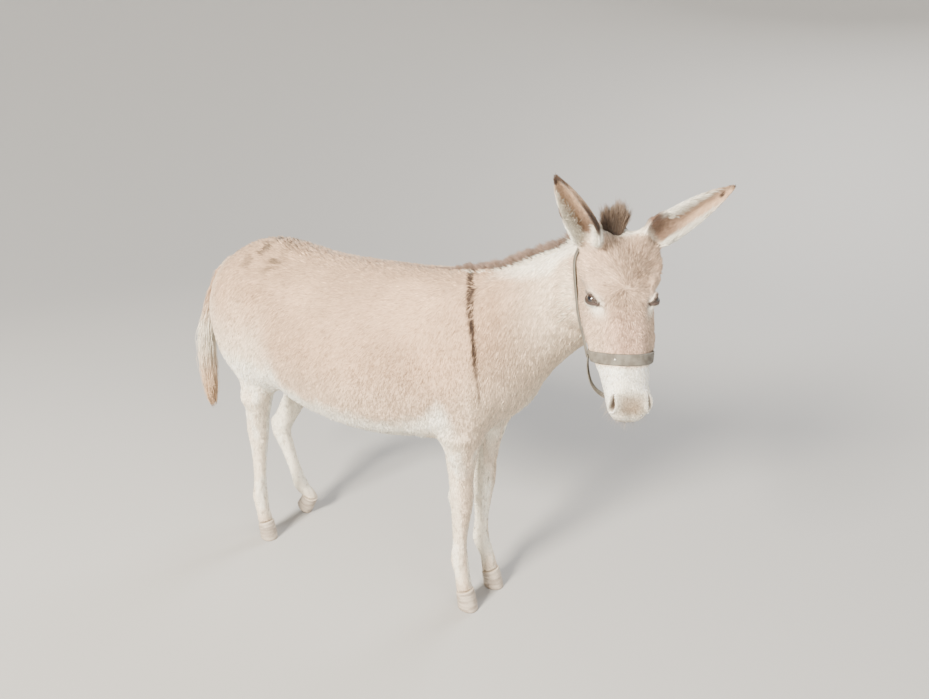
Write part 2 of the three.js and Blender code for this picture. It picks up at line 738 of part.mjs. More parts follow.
// ---- Tail ---------------------------------------------------------------------------------------
const tailTube = tube(
  [
    [-899, 0, 966, 26, 26, 26],
    [-956, -4, 926, 25, 26, 26],
    [-1000, -13, 852, 22, 23, 23],
    [-1032, -26, 760, 25, 24, 24],
    [-1042, -36, 680, 33, 30, 30],
    [-1047, -42, 590, 31, 28, 28],
    [-1044, -45, 500, 26, 24, 24],
    [-1038, -46, 415, 17, 16, 16],
  ],
  { caps: [20, 30] },
);

// ---- Halter, in the head's frame ----------------------------------------------------------------

// A flat strap laid on a closed or open path: sections of the webbing at points with an outward
// direction and an across direction.
function strapGeometry(stops, width, thickness, closed) {
  const rings = stops.map(({ at, out, across }) => {
    const corner = (a, o) => at.clone().addScaledVector(across, a).addScaledVector(out, o);
    const half = width / 2;
    return [corner(-half, 0), corner(half, 0), corner(half, thickness), corner(-half, thickness)];
  });
  if (!closed) return closedRings(rings, middleOf(rings[0]), middleOf(rings[rings.length - 1]));
  const n = rings.length;
  const points = rings.flat();
  const faces = [];
  for (let r = 0; r < n; r++)
    for (let i = 0; i < 4; i++) {
      const [a, b] = [r * 4 + i, r * 4 + ((i + 1) % 4)];
      const [c, d] = [((r + 1) % n) * 4 + ((i + 1) % 4), ((r + 1) % n) * 4 + i];
      faces.push(a, b, c, a, c, d);
    }
  const geometry = new THREE.BufferGeometry();
  geometry.setFromPoints(points);
  geometry.setIndex(faces);
  return outward(geometry);
}

// The head's and the neck's surface together, which the straps lie on.
function wholeHead(q) {
  const world = fromHead.copy(q).applyMatrix4(headFrame);
  return blend(neckTube(world) / HEAD_SIZE, headField(q), HEAD_WIDTH);
}

// Lays one stop of a strap: straight out from the origin until the strap clears the coat.
function laid(origin, out, across, width) {
  const clears = [-0.5, 0, 0.5].map((e) =>
    reach(wholeHead, origin.clone().addScaledVector(across, e * width), out, 0, 260),
  );
  return { at: origin.clone().addScaledVector(out, Math.max(...clears) + STRAP_STANDOFF), out, across };
}

// The noseband's plane: its front lies lower on the nose than its back under the jaw.
const NOSEBAND_FRONT = vec(314, 0, -14);
const NOSEBAND_SLOPE = 0.43;
const nosebandX = (z) => NOSEBAND_FRONT.x + (z - NOSEBAND_FRONT.z) * NOSEBAND_SLOPE;

function noseband() {
  const STOPS = 28;
  const low = vec(NOSEBAND_SLOPE, 0, 1).normalize();
  const across = vec(0, 1, 0).cross(low);
  const centre = vec(nosebandX(-66), 0, -66);
  const stops = Array.from({ length: STOPS }, (_, i) => {
    const angle = (i / STOPS) * 2 * Math.PI;
    const out = vec(0, Math.cos(angle), 0).addScaledVector(low, Math.sin(angle));
    return laid(centre, out, across, STRAP_WIDTH);
  });
  return strapGeometry(stops, STRAP_WIDTH, STRAP_THICKNESS, true);
}

// The cheek straps and the crown in one: up each cheek and over the neck behind the ears. Each key
// is [x, z, how far round towards the crown it looks, in degrees].
const HEADSTALL_KEYS = [
  [nosebandX(-106) - 17, -106, 0],
  [215, -112, 0],
  [150, -116, 0],
  [90, -120, 2],
  [38, -116, 10],
  [2, -104, 24],
  [-12, -94, 48],
  [-16, -90, 90],
];
const HEADSTALL_WIDTH = 20;

// grow widens the strap on every side, for cutting its way through the mane.
function headstall(grow) {
  const crown = vec(-0.46, 0, 0.89);
  const STEPS = 2;
  const count = (HEADSTALL_KEYS.length - 1) * STEPS;
  const origins = Array.from({ length: count + 1 }, (_, i) =>
    [0, 1, 2].map((k) => through(HEADSTALL_KEYS.map((key) => key[k]), i / STEPS)),
  );
  const half = (side) =>
    origins.map(([x, z, degrees]) => {
      const out = vec(0, side * Math.cos(rad(degrees)), 0).addScaledVector(crown, Math.sin(rad(degrees)));
      return { origin: vec(x, 0, z), out };
    });
  const path = [...half(-1), ...half(1).reverse().slice(1)];
  const touch = path.map(({ origin, out }) => laid(origin, out, vec(0, 0, 0), 0).at);
  const stops = path.map(({ origin, out }, i) => {
    const along = touch[Math.min(i + 1, touch.length - 1)].clone().sub(touch[Math.max(i - 1, 0)]);
    const across = along.cross(out).normalize();
    return laid(origin, out, across, HEADSTALL_WIDTH);
  });
  for (const stop of stops) stop.at.addScaledVector(stop.out, -grow);
  return strapGeometry(stops, HEADSTALL_WIDTH + 2 * grow, STRAP_THICKNESS + 2 * grow, false);
}

// The chin strap hangs from the noseband's sides under the jaw.
const CHIN_STRAP_WIDTH = 14;
const CHIN_STRAP_KEYS = [
  [nosebandX(-122) + 16, 72, -122],
  [302, 71, -131],
  [335, 64, -143],
  [362, 51, -151],
  [378, 29, -158],
  [383, 0, -161],
];

function chinStrap() {
  const STEPS = 2;
  const count = (CHIN_STRAP_KEYS.length - 1) * STEPS;
  const half = Array.from({ length: count + 1 }, (_, i) =>
    vec(...[0, 1, 2].map((k) => through(CHIN_STRAP_KEYS.map((key) => key[k]), i / STEPS))),
  );
  const left = half.slice(0, -1).reverse();
  const path = [...half.map((p) => vec(p.x, -p.y, p.z)), ...left];
  const stops = path.map((at, i) => {
    const along = path[Math.min(i + 1, path.length - 1)].clone().sub(path[Math.max(i - 1, 0)]);
    along.normalize();
    const across = along.clone().cross(vec(0, at.y, at.z + 80)).normalize();
    return { at, out: across.clone().cross(along).normalize(), across };
  });
  return strapGeometry(stops, CHIN_STRAP_WIDTH, STRAP_THICKNESS, false);
}

// ---- The donkey ---------------------------------------------------------------------------------
const donkey = new THREE.Group();
const headGroup = new THREE.Group();
headGroup.applyMatrix4(headFrame);
donkey.add(headGroup);

const solidInHead = (made) => made.transform(toHead.elements);
const eyeball = (side, radius) =>
  new THREE.SphereGeometry(radius, 12, 8).translate(EYE_CENTRE.x, side * EYE_CENTRE.y, EYE_CENTRE.z);
const socketCutters = [-1, 1].map((side) => solid(eyeball(side, EYE_RADIUS + GAP)));

const headWhole = headSkin(0).subtract(solidInHead(neckCutter));
const headCutter = headSkin(GAP);
const head = socketCutters.reduce((made, cutter) => made.subtract(cutter), headWhole);

donkey.add(named("trunk", geometryOf(trunk), COLOURS.coat));
donkey.add(named("neck", geometryOf(neck), COLOURS.coat));
headGroup.add(named("head", geometryOf(head), COLOURS.coat));
headGroup.add(named("eye_right", eyeball(-1, EYE_RADIUS), COLOURS.eye, 0.1));
headGroup.add(named("eye_left", eyeball(1, EYE_RADIUS), COLOURS.eye, 0.1));

const strapCutter = solid(headstall(0.5));
const clearOfCoat = (geometry) => solid(geometry).subtract(headCutter).subtract(solidInHead(neckCutter));
const forelock = clearOfCoat(forelockGeometry(0)).subtract(strapCutter);
headGroup.add(named("forelock", geometryOf(forelock), COLOURS.mane));
for (const ear of EARS) {
  const made = clearOfCoat(earGeometry(ear.front, ear.spread).applyMatrix4(earMatrix(ear)));
  headGroup.add(named(ear.name, geometryOf(made), COLOURS.coat));
}

LIMBS.forEach((limb, i) => {
  const hoof = HOOVES[i];
  donkey.add(named("hoof_" + limb.name, geometryOf(hoofSolid(hoof)), COLOURS.hoof, 0.6));
  donkey.add(named("leg_" + limb.name, geometryOf(limbSolid(limb, hoof)), COLOURS.pale));
});

const tail = solid(skinned(tailTube, Array.from({ length: 13 }, (_, i) => tailTube.at(i / 12)), 9, {}));
donkey.add(named("tail", geometryOf(tail.subtract(trunkCutter)), COLOURS.pale));
const inWorld = (made) => made.transform(headFrame.elements);
const onTheHead = [headCutter, strapCutter, solid(forelockGeometry(1))].map(inWorld);
donkey.add(named("mane", geometryOf(maneSolid([neckCutter, trunkCutter, ...onTheHead])), COLOURS.mane));
headGroup.add(named("halter_noseband", geometryOf(clearOfCoat(noseband())), COLOURS.strap));
headGroup.add(named("halter_headstall", geometryOf(clearOfCoat(headstall(0))), COLOURS.strap));
headGroup.add(named("halter_chin_strap", chinStrap(), COLOURS.strap));

// The frame's origin is on the floor, under the middle of the whole.
donkey.updateMatrixWorld(true);
const box = new THREE.Box3().setFromObject(donkey, true);
const middle = box.getCenter(vec(0, 0, 0));
donkey.position.set(-middle.x, -middle.y, 0);
export default donkey;
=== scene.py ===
import json
import bmesh
import bpy
import numpy as np
from mathutils import Matrix, Vector
from mathutils.bvhtree import BVHTree

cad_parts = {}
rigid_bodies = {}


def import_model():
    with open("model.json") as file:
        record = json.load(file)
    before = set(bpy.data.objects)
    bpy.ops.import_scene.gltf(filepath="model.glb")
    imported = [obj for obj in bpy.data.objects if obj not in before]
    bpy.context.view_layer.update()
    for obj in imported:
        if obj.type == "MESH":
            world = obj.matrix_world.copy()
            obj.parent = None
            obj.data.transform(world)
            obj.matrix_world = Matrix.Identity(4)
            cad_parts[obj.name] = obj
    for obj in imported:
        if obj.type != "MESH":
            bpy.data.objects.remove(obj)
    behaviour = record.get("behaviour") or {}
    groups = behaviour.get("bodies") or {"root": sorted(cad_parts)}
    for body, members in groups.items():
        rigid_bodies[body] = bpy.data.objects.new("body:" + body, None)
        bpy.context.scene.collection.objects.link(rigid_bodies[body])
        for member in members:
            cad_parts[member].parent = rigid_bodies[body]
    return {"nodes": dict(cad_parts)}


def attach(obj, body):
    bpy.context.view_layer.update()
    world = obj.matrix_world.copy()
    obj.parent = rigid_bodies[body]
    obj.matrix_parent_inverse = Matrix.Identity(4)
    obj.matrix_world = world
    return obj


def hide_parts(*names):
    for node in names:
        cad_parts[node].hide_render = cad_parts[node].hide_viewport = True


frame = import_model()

for stray in [o for o in bpy.data.objects if o.name in ("Cube", "Light", "Camera")]:
    bpy.data.objects.remove(stray)
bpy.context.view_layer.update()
rng = np.random.default_rng(11)

SHIFT = np.array([0.2223, 0.0082, 0.0])  # from under the withers to the frame's origin, metres
POLL = np.array([424.0, -82.0, 1198.0])
HEAD_SIZE = 0.957
HEAD_YAW, HEAD_PITCH, HEAD_ROLL = np.radians((-58.0, 54.0, -1.0))


def turn(axis, angle):
    return np.array(Matrix.Rotation(angle, 3, axis))


HEAD_AXES = turn("Z", HEAD_YAW) @ turn("Y", HEAD_PITCH) @ turn("X", HEAD_ROLL)


def to_head(p):
    return (p - POLL) @ HEAD_AXES / HEAD_SIZE


def from_head(q):
    return np.asarray(q, float) * HEAD_SIZE @ HEAD_AXES.T + POLL


def head_way(v):
    return np.asarray(v, float) @ HEAD_AXES.T


def to_metres(p):
    return np.asarray(p) / 1000 + SHIFT


def smooth(lo, hi, x):
    t = np.clip((x - lo) / (hi - lo), 0, 1)
    return t * t * (3 - 2 * t)


def mix(a, b, t):
    return a + (b - a) * t


def unit(v):
    return v / np.maximum(np.linalg.norm(v, axis=-1, keepdims=True), 1e-9)


def blob(p, centre, radii, power=2.0):
    """1 at the centre, falling off smoothly over the radii."""
    d = np.abs((p - np.asarray(centre, float)) / np.asarray(radii, float)) ** power
    return np.exp(-d.sum(axis=1))


# ---- Skin -----------------------------------------------------------------------------------------
SKIN_VOXEL = 0.003
SKIN_THINNING = 0.08
EYE_GROWTH = 1.08  # so that the skin closes over the ball before the lids are cut
FLESH = ["trunk", "neck", "head", "ear_right", "ear_left", "leg_fore_right", "leg_fore_left",
         "leg_hind_right", "leg_hind_left", "tail"]
EAR_LENGTH = 246


def ear_axes(root, tip, opening):
    up = unit(np.array(tip, float))
    front = np.array(opening, float)
    front = unit(front - front.dot(up) * up)
    return np.array(root, float), np.stack([front, np.cross(up, front), up], axis=1)


EARS = {
    "right": ear_axes((36, -56, -24), (-0.2, -0.53, 0.82), (0.86, -0.5, 0.2)),
    "left": ear_axes((36, 58, -24), (-0.46, 0.83, 0.33), (0.45, -0.1, 0.9)),
}


def to_ear(h, side):
    root, axes = EARS[side]
    return (h - root) @ axes


def node_arrays(name):
    mesh = frame["nodes"][name].data
    points = np.empty(len(mesh.vertices) * 3)
    mesh.vertices.foreach_get("co", points)
    return points.reshape(-1, 3), [tuple(f.vertices) for f in mesh.polygons]


def new_object(name, points, faces):
    """points in metres; faces as an (n, 3 or 4) array or a list of tuples."""
    mesh = bpy.data.meshes.new(name)
    if isinstance(faces, np.ndarray):
        count, sides = faces.shape
        mesh.vertices.add(len(points))
        mesh.vertices.foreach_set("co", np.asarray(points, np.float32).ravel())
        mesh.loops.add(count * sides)
        mesh.loops.foreach_set("vertex_index", faces.astype(np.int32).ravel())
        mesh.polygons.add(count)
        mesh.polygons.foreach_set("loop_start", np.arange(0, count * sides, sides, dtype=np.int32))
        mesh.update(calc_edges=True)
    else:
        mesh.from_pydata(np.asarray(points).tolist(), [], faces)
    mesh.polygons.foreach_set("use_smooth", np.ones(len(mesh.polygons), bool))
    mesh.validate()
    made = bpy.data.objects.new(name, mesh)
    bpy.context.scene.collection.objects.link(made)
    return made


def select_only(obj):
    for o in bpy.context.selected_objects:
        o.select_set(False)
    obj.select_set(True)
    bpy.context.view_layer.objects.active = obj


def joined(names, voxel):
    """The named CAD nodes as one closed surface of small quads."""
    points, faces, start = [], [], 0
    for name in names:
        p, f = node_arrays(name)
        if name.startswith("eye"):
            p = p.mean(axis=0) + (p - p.mean(axis=0)) * EYE_GROWTH
        points.append(p)
        faces += [tuple(i + start for i in face) for face in f]
        start += len(p)
    made = new_object("skin", np.concatenate(points), faces)
    made.data.remesh_voxel_size = voxel
    made.data.remesh_voxel_adaptivity = 0
    select_only(made)
    bpy.ops.object.voxel_remesh()
    return made


def points_of(obj):
    p = np.empty(len(obj.data.vertices) * 3, np.float32)
    obj.data.vertices.foreach_get("co", p)
    return (p.reshape(-1, 3).astype(float) - SHIFT) * 1000


def set_points(obj, p):
    obj.data.vertices.foreach_set("co", to_metres(p).astype(np.float32).ravel())
    obj.data.update()


def normals_of(obj):
    n = np.empty(len(obj.data.vertices) * 3, np.float32)
    obj.data.vertex_normals.foreach_get("vector", n)
    return n.reshape(-1, 3).astype(float)


def edges_of(obj):
    e = np.empty(len(obj.data.edges) * 2, np.int32)
    obj.data.edges.foreach_get("vertices", e)
    return e.reshape(-1, 2)


def neighbours(edges, count):
    """A row of neighbours for each point, padded with the point itself, and how many are real."""
    ends = np.concatenate([edges, edges[:, ::-1]])
    ends = ends[np.argsort(ends[:, 0], kind="stable")]
    degree = np.bincount(ends[:, 0], minlength=count)
    place = np.arange(len(ends)) - np.repeat(np.cumsum(degree) - degree, degree)
    table = np.repeat(np.arange(count)[:, None], 6, axis=1)
    kept = place < 6
    table[ends[kept, 0], place[kept]] = ends[kept, 1]
    return table, np.clip(degree, 1, 6)


def relax(p, edges, share, rounds):
    """Moves each point its share of the way to the mean of its neighbours, over and over."""
    table, degree = neighbours(edges, len(p))
    p = p.astype(np.float32)
    pad = (6 - degree)[:, None].astype(np.float32)
    step = (share / degree)[:, None].astype(np.float32)
    degree = degree[:, None].astype(np.float32)
    for _ in range(rounds):
        total = p[table[:, 0]]
        for k in range(1, 6):
            total += p[table[:, k]]
        p = p + (total - p * (pad + degree)) * step
    return p.astype(float)


def regions(p):
    """How far each point belongs to the head, the ears, the legs and the tail, 0 to 1."""
    h = to_head(p)
    head = smooth(0, 50, h[:, 0]) * smooth(135, 100, np.abs(h[:, 1])) * smooth(-235, -205, h[:, 2])
    ear = np.zeros(len(p))
    for side in EARS:
        e = to_ear(h, side)
        near = smooth(85, 65, np.hypot(e[:, 0], e[:, 1])) * (e[:, 2] < 280)
        ear = np.maximum(ear, smooth(14, 40, e[:, 2]) * near)
    under = (p[:, 0] > -70) | (p[:, 0] < -675)
    leg = smooth(640, 560, p[:, 2]) * under * (p[:, 0] > -930) * (p[:, 0] < 160)
    tail = smooth(-955, -975, p[:, 0]) * smooth(-940, -955, p[:, 0] + (p[:, 2] < 700) * 400 * -1)
    tail = np.maximum(tail, (p[:, 0] < -950) * (p[:, 2] < 650))
    leg = leg * (1 - tail)
    return head * (1 - ear), ear, leg, tail


def upper_legs(p):
    return smooth(760, 540, p[:, 2]) * ((p[:, 0] > -100) | (p[:, 0] < -600))


def mouth_height(x):
    """The mouth's line in the head's frame, dropping towards the front of the lips."""
    return -98 - 5 * smooth(350, 432, x)


skin = joined(FLESH + ["eye_right", "eye_left"], SKIN_VOXEL)
body = points_of(skin)
head, ear, leg, tail = regions(body)
upper_leg = upper_legs(body)
haunch = np.exp(-((body[:, 0] + 680) / 130) ** 2 - ((body[:, 2] - 640) / 75) ** 2)
elbow = np.exp(-((body[:, 0] + 20) / 90) ** 2 - ((body[:, 2] - 650) / 60) ** 2)
upper_leg = upper_leg * (1 - 0.75 * np.maximum(haunch, 0.6 * elbow))
share = mix(mix(mix(mix(0.9, 0.16, upper_leg), 0.13, head), 0.3, tail), 0.035, ear)
set_points(skin, relax(body, edges_of(skin), share, 80))
skin.data.remesh_voxel_adaptivity = SKIN_THINNING
select_only(skin)
bpy.ops.object.voxel_remesh()
body = points_of(skin)
ham = np.exp(-((body[:, 0] + 730) / 125) ** 4 - ((body[:, 2] - 622) / 60) ** 4)
girth = np.exp(-((body[:, 0] + 35) / 70) ** 4 - ((body[:, 2] - 655) / 40) ** 4)
set_points(skin, relax(body, edges_of(skin), 0.9 * np.maximum(ham, 0.5 * girth), 170))

# The eye's opening in the head's frame: the ball's centre, the way it looks, and the line from the
# outer corner to the inner one.
EYE_RADIUS = 18.0
LID = 2.6
OPENING = (-16.0, 15.6)  # outer and inner corner along that line
OPENING_HEIGHT = 7.2  # half, at its middle
OPENING_TILT = np.radians(40)


def eye_frame(side):
    centre = np.array([163.4, 65.0 * side, -37.0])
    out = unit(np.array([0.15, 0.80 * side, 0.58]))
    forward = unit(np.array([1.0, 0, 0]) - out * out[0])
    inward = unit(np.array([0.0, -side * 0.59, 0.81]))
    inward = unit(inward - out * inward.dot(out) - forward * inward.dot(forward))
    along = np.cos(OPENING_TILT) * forward + np.sin(OPENING_TILT) * inward
    above = np.cos(OPENING_TILT) * inward - np.sin(OPENING_TILT) * forward
    return centre, out, along, above


def eye_offsets(h, side):
    """Along the opening, above it, and out of the eye, from the ball's centre."""
    centre, out, along, above = eye_frame(side)
    q = h - centre
    return q @ along, q @ above, q @ out


def opening_gap(a, b):
    """How far (a, b) lies outside the opening's edge, less than 0 inside it."""
    low, high = OPENING
    t = np.clip((a - low) / (high - low), 0, 1)
    arch = np.where(b > 0, 1.0, 0.8) * OPENING_HEIGHT
    half = arch * np.sin(np.pi * t ** 0.9) ** 0.75
    beyond = np.maximum(np.maximum(low - a, a - high), 0)
    return np.hypot(np.abs(b) - half, beyond) * np.sign(np.abs(b) - half + beyond * 4)


def lid_gap(h, side):
    """The eye's offsets, the distance from its centre, and the gap to the opening drawn on the ball."""
    a, b, out = eye_offsets(h, side)
    radial = np.linalg.norm(h - eye_frame(side)[0], axis=1)
    spread = EYE_RADIUS / np.maximum(radial, 1)
    return a, b, out, radial, opening_gap(a * spread, b * spread)


FAR = 99.0  # stands for a gap at points that have none
NOSTRIL = np.array([399.0, 34.0, -46.0])  # y for the left side


def nostril_offsets(h, side):
    """Along the nostril's slit, across it and out of it."""
    out = unit(np.array([0.60, 0.70 * side, 0.2]))
    along = np.array([0.6, -0.3 * side, -0.72])
    along = unit(along - out * along.dot(out))
    across = np.cross(along, out) * side
    q = h - NOSTRIL * (1, side, 1)
    return q @ along, q @ across, q @ out


def nostril_gap(a, b):
    """How far a point lies outside the comma-shaped opening."""
    curve = b - 5.0 * np.cos(a / 17.0 * np.pi / 2) + 3
    width = 6.4 * np.clip(1 - (a / 18.0) ** 2, 0, 1) ** 0.5 * (1 + 0.25 * a / 18)
    beyond = np.maximum(np.abs(a) - 17.5, 0)
    return np.hypot(np.abs(curve) - width, beyond) * np.sign(np.abs(curve) - width + beyond * 4)


def refine(obj, chosen, rounds):
    mesh = bmesh.new()
    mesh.from_mesh(obj.data)
    for n in range(rounds):
        mesh.verts.index_update()
        mesh.verts.ensure_lookup_table()
        place = np.array([v.co[:] for v in mesh.verts])
        mark = chosen((place - SHIFT) * 1000, n)
        edges = [e for e in mesh.edges if mark[e.verts[0].index] and mark[e.verts[1].index]]
        bmesh.ops.subdivide_edges(mesh, edges=edges, cuts=1, use_grid_fill=True)
    mesh.to_mesh(obj.data)
    mesh.free()


def near_features(p, n):
    h = to_head(p)
    mark = np.zeros(len(p), bool)
    for side in (-1, 1):
        mark |= np.linalg.norm(h - eye_frame(side)[0] - eye_frame(side)[1] * 16, axis=1) < (42, 32, 27)[n]
        mark |= np.linalg.norm(h - NOSTRIL * (1, side, 1), axis=1) < (40, 27, 20)[n]
    if n == 0:
        mark |= (h[:, 0] > 335) & (np.abs(h[:, 1]) < 80) & (h[:, 2] < 0) & (h[:, 2] > -150)
    return mark & (h[:, 0] > 110)


refine(skin, near_features, 3)
body = points_of(skin)
h = to_head(body)
head, ear, leg, tail = regions(body)
near = np.zeros(len(body))
for side in (-1, 1):
    for centre, size in ((eye_frame(side)[0], 36), (NOSTRIL * (1, side, 1), 34)):
        near = np.maximum(near, np.linalg.norm(h - centre, axis=1) < size)
body = relax(body, edges_of(skin), 0.5 * near, 12)
set_points(skin, body)

# How deep the coat is over the skin.
normal = unit(relax(normals_of(skin), edges_of(skin), 0.5 * np.ones(len(body)), 4))
h = to_head(body)
upper_leg = upper_legs(body)
forearm = smooth(230, 330, body[:, 2]) * smooth(690, 600, body[:, 2]) * (body[:, 0] > -100)
depth = mix(mix(mix(4.6, 2.2, upper_leg) - 3.4 * forearm, mix(2.6, 1.4, smooth(300, 380, h[:, 0])), head),
            0.9, ear)
body = body - normal * depth[:, None] * (1 - tail[:, None])
# The tail's flesh is slender inside its hair.
TAIL_LINE = np.array([[-899, 0, 966], [-956, -4, 926], [-1000, -13, 852], [-1032, -26, 760],
                      [-1042, -36, 680], [-1047, -42, 590], [-1044, -45, 500], [-1038, -46, 415]], float)


def tail_centre(z):
    up = TAIL_LINE[::-1]
    return np.stack([np.interp(z, up[:, 2], up[:, 0]), np.interp(z, up[:, 2], up[:, 1]), z], axis=1)


core = tail_centre(np.clip(body[:, 2], 440, 985))
thin = mix(0.3, 0.72, smooth(560, 760, body[:, 2]))
slim = core + (body - core) * np.stack([thin, thin, np.ones(len(thin))], axis=1)
slim[:, 2] = np.maximum(slim[:, 2], 440 + (slim[:, 2] - 440) * 0.2)
body = mix(body, slim, (tail * smooth(955, 930, body[:, 2]))[:, None])

# Muscles and bones: [centre, radii, height], y given for the left side and used on both.
BODY_BUMPS = [
    ((-60, 150, 840), (40, 60, 90), -4.5),  # behind the shoulder blade
    ((22, 122, 715), (48, 40, 66), 6),  # triceps
    ((-28, 96, 650), (20, 26, 26), 6),  # elbow
    ((152, 92, 748), (30, 34, 38), 8),  # point of the shoulder
    ((95, 128, 812), (26, 40, 60), -4),
    ((-548, 175, 852), (52, 60, 66), -9),  # hollow of the flank
    ((-652, 140, 955), (32, 34, 28), 6),  # hip bone
    ((-925, 66, 900), (26, 30, 30), 6),  # pin bone
    ((-652, 150, 648), (36, 44, 46), 6),  # stifle
    ((-868, 118, 760), (26, 50, 110), -5),  # groove down the thigh
    ((-742, 160, 800), (60, 60, 90), 4),
    ((-592, 150, 610), (34, 60, 40), -5),  # under the flank fold
    ((-780, 130, 560), (20, 40, 60), 4),
    ((300, 60, 950), (90, 40, 14), -3.5),  # groove along the windpipe
    ((8, 66, 372), (13, 24, 26), 2.5),  # knee
    ((-8, 88, 262), (5, 12, 70), -2.6),  # between cannon and tendon, outside
    ((-8, 44, 262), (5, 12, 70), -2.6),
    ((-26, 66, 152), (12, 16, 14), 3.5),  # back of the fetlock
]
MIDDLE_BUMPS = [
    ((206, 0, 742), (40, 16, 90), -8),  # between the breast muscles
    ((-812, 0, 1040), (90, 12, 60), -3),
    ((-300, 0, 1030), (420, 7, 50), 2.2),  # spine
    ((-792, -102, 262), (5, 40, 80), -2.0),
    ((-812, -102, 152), (12, 16, 14), 3),
]


def raised(p, paired, middle):
    """The height of bumps at points: paired ones on both sides, and those on the middle line."""
    total = np.zeros(len(p))
    for (x, y, z), radii, height in paired:
        for side in (-1, 1):
            total += height * blob(p, (x, side * y, z), radii)
    for centre, radii, height in middle:
        total += height * blob(p, centre, radii)
    return total


lift = raised(body, BODY_BUMPS, MIDDLE_BUMPS)
ribs = blob(body, (-270, 0, 800), (190, 1e4, 120), 4) * smooth(150, 210, np.abs(body[:, 1]))
lift += 1.1 * ribs * np.sin((body[:, 0] - 0.25 * body[:, 2]) * 2 * np.pi / 44)
body = body + normal * (lift * (1 - head) * (1 - ear) * (1 - tail))[:, None]

# ---- The head's own forms -------------------------------------------------------------------------
HEAD_BUMPS = [
    ((232, 70, -74), (46, 14, 8), 4.5),  # facial crest
    ((262, 60, -46), (42, 14, 14), -3.5),
    ((215, 58, -122), (34, 24, 22), -4.5),  # between cheek and jaw
    ((120, 84, -44), (34, 16, 9), 4),  # arch behind the eye
    ((94, 62, -6), (24, 17, 18), -6),  # hollow over the eye
    ((300, 27, -10), (90, 9, 12), 2.2),  # edge of the nose bones
    ((120, 60, -190), (60, 14, 20), 3),  # edge of the jaw
    ((352, 46, -99), (12, 14, 12), -2.5),  # corner of the mouth
    ((372, 38, -40), (14, 14, 14), -2.5),
    ((425, 18, -58), (14, 14, 20), 2.5),
    ((140, 66, 2), (30, 22, 14), 2.5),  # brow
    ((26, 30, 2), (26, 22, 16), 2.5),
]
HEAD_MIDDLE = [
    ((250, 0, -6), (90, 18, 20), -1.6),  # flat of the nose
    ((424, 0, -52), (26, 7, 26), -2.2),
    ((396, 0, -124), (20, 18, 12), 3.5),  # chin
    ((120, 0, -190), (90, 22, 30), -9),  # between the jaws
]
h = to_head(body)
lift = raised(h, HEAD_BUMPS, HEAD_MIDDLE)
# The mouth: a line back from the front of the lips to their corners.
mouth_z = mouth_height(h[:, 0])
mouth = np.exp(-((h[:, 2] - mouth_z) / 2.2) ** 2) * smooth(346, 356, h[:, 0])
lips = np.exp(-((h[:, 2] - mouth_z) / 9.0) ** 2) * smooth(340, 372, h[:, 0])
lift += 1.6 * lips - 5.5 * mouth
h = h + (normal @ HEAD_AXES) * (lift * head)[:, None]

nostril_gaps = []
for side in (-1, 1):
    a, b, out = nostril_offsets(h, side)
    gap = nostril_gap(a, b)
    here = head * (out > -14) * (np.hypot(a, b) < 40)
    push = 3.0 * np.exp(-((gap - 3.2) / 3.0) ** 2) - 15 * smooth(0.8, -3.5, gap)
    way = unit(np.array([0.60, 0.70 * side, 0.2]))
    h = h + way * (push * here)[:, None]
    nostril_gaps.append(gap * (here > 0.5) + FAR * (here <= 0.5))

for side in (-1, 1):
    centre, way, _, _ = eye_frame(side)
    a, b, out, radial, gap = lid_gap(h, side)
    lid = EYE_RADIUS + LID + 0.8 * smooth(0, 3, gap) - 1.3 * np.exp(-((gap - 7.5) / 1.3) ** 2) * (b > 0)
    lid = lid + 0.5 * np.sin(gap * 1.5) * smooth(8, 11, gap) * smooth(22, 16, gap)
    target = np.where(gap < 0, EYE_RADIUS - 3 * smooth(0, -1.6, gap),
                      mix(EYE_RADIUS + 0.2, lid, smooth(0, 0.9, gap)))
    hold = smooth(15.0, 5.0, gap) * (out > 2) * (radial < 46) * head
    moved = centre + (h - centre) / np.maximum(radial, 1)[:, None] * target[:, None]
    h = mix(h, moved, hold[:, None])
    tear = np.exp(-(b / 1.8) ** 2) * smooth(OPENING[1] - 3, OPENING[1] + 2, a) * smooth(OPENING[1] + 13,
                                                                                        OPENING[1] + 5, a)
    h = h - way * (2.6 * tear * (out > 2) * (radial < 50) * head)[:, None]
body = mix(body, from_head(h), (head > 0.02)[:, None])
set_points(skin, body)
near_eye = np.zeros(len(body))
for side in (-1, 1):
    near_eye = np.maximum(near_eye,
                          smooth(40, 32, np.linalg.norm(to_head(body) - eye_frame(side)[0], axis=1)))
body = relax(body, edges_of(skin), mix(0.5, 0.2, head) * (1 - near_eye), 3)
set_points(skin, body)

# ---- Materials ------------------------------------------------------------------------------------


def material(name, colour, roughness, **others):
    made = bpy.data.materials.new(name)
    made.use_nodes = True
    shader = made.node_tree.nodes["Principled BSDF"]
    shader.inputs["Base Color"].default_value = (*colour, 1)
    shader.inputs["Roughness"].default_value = roughness
    for key, value in others.items():
        shader.inputs[key.replace("_", " ")].default_value = value
    return made


def node(made, kind, **values):
    n = made.node_tree.nodes.new(kind)
    for key, value in values.items():
        if key in n.inputs:
            n.inputs[key].default_value = value
        else:
            setattr(n, key, value)
    return n


def link(made, a, out, b, into):
    made.node_tree.links.new(a.outputs[out], b.inputs[into])


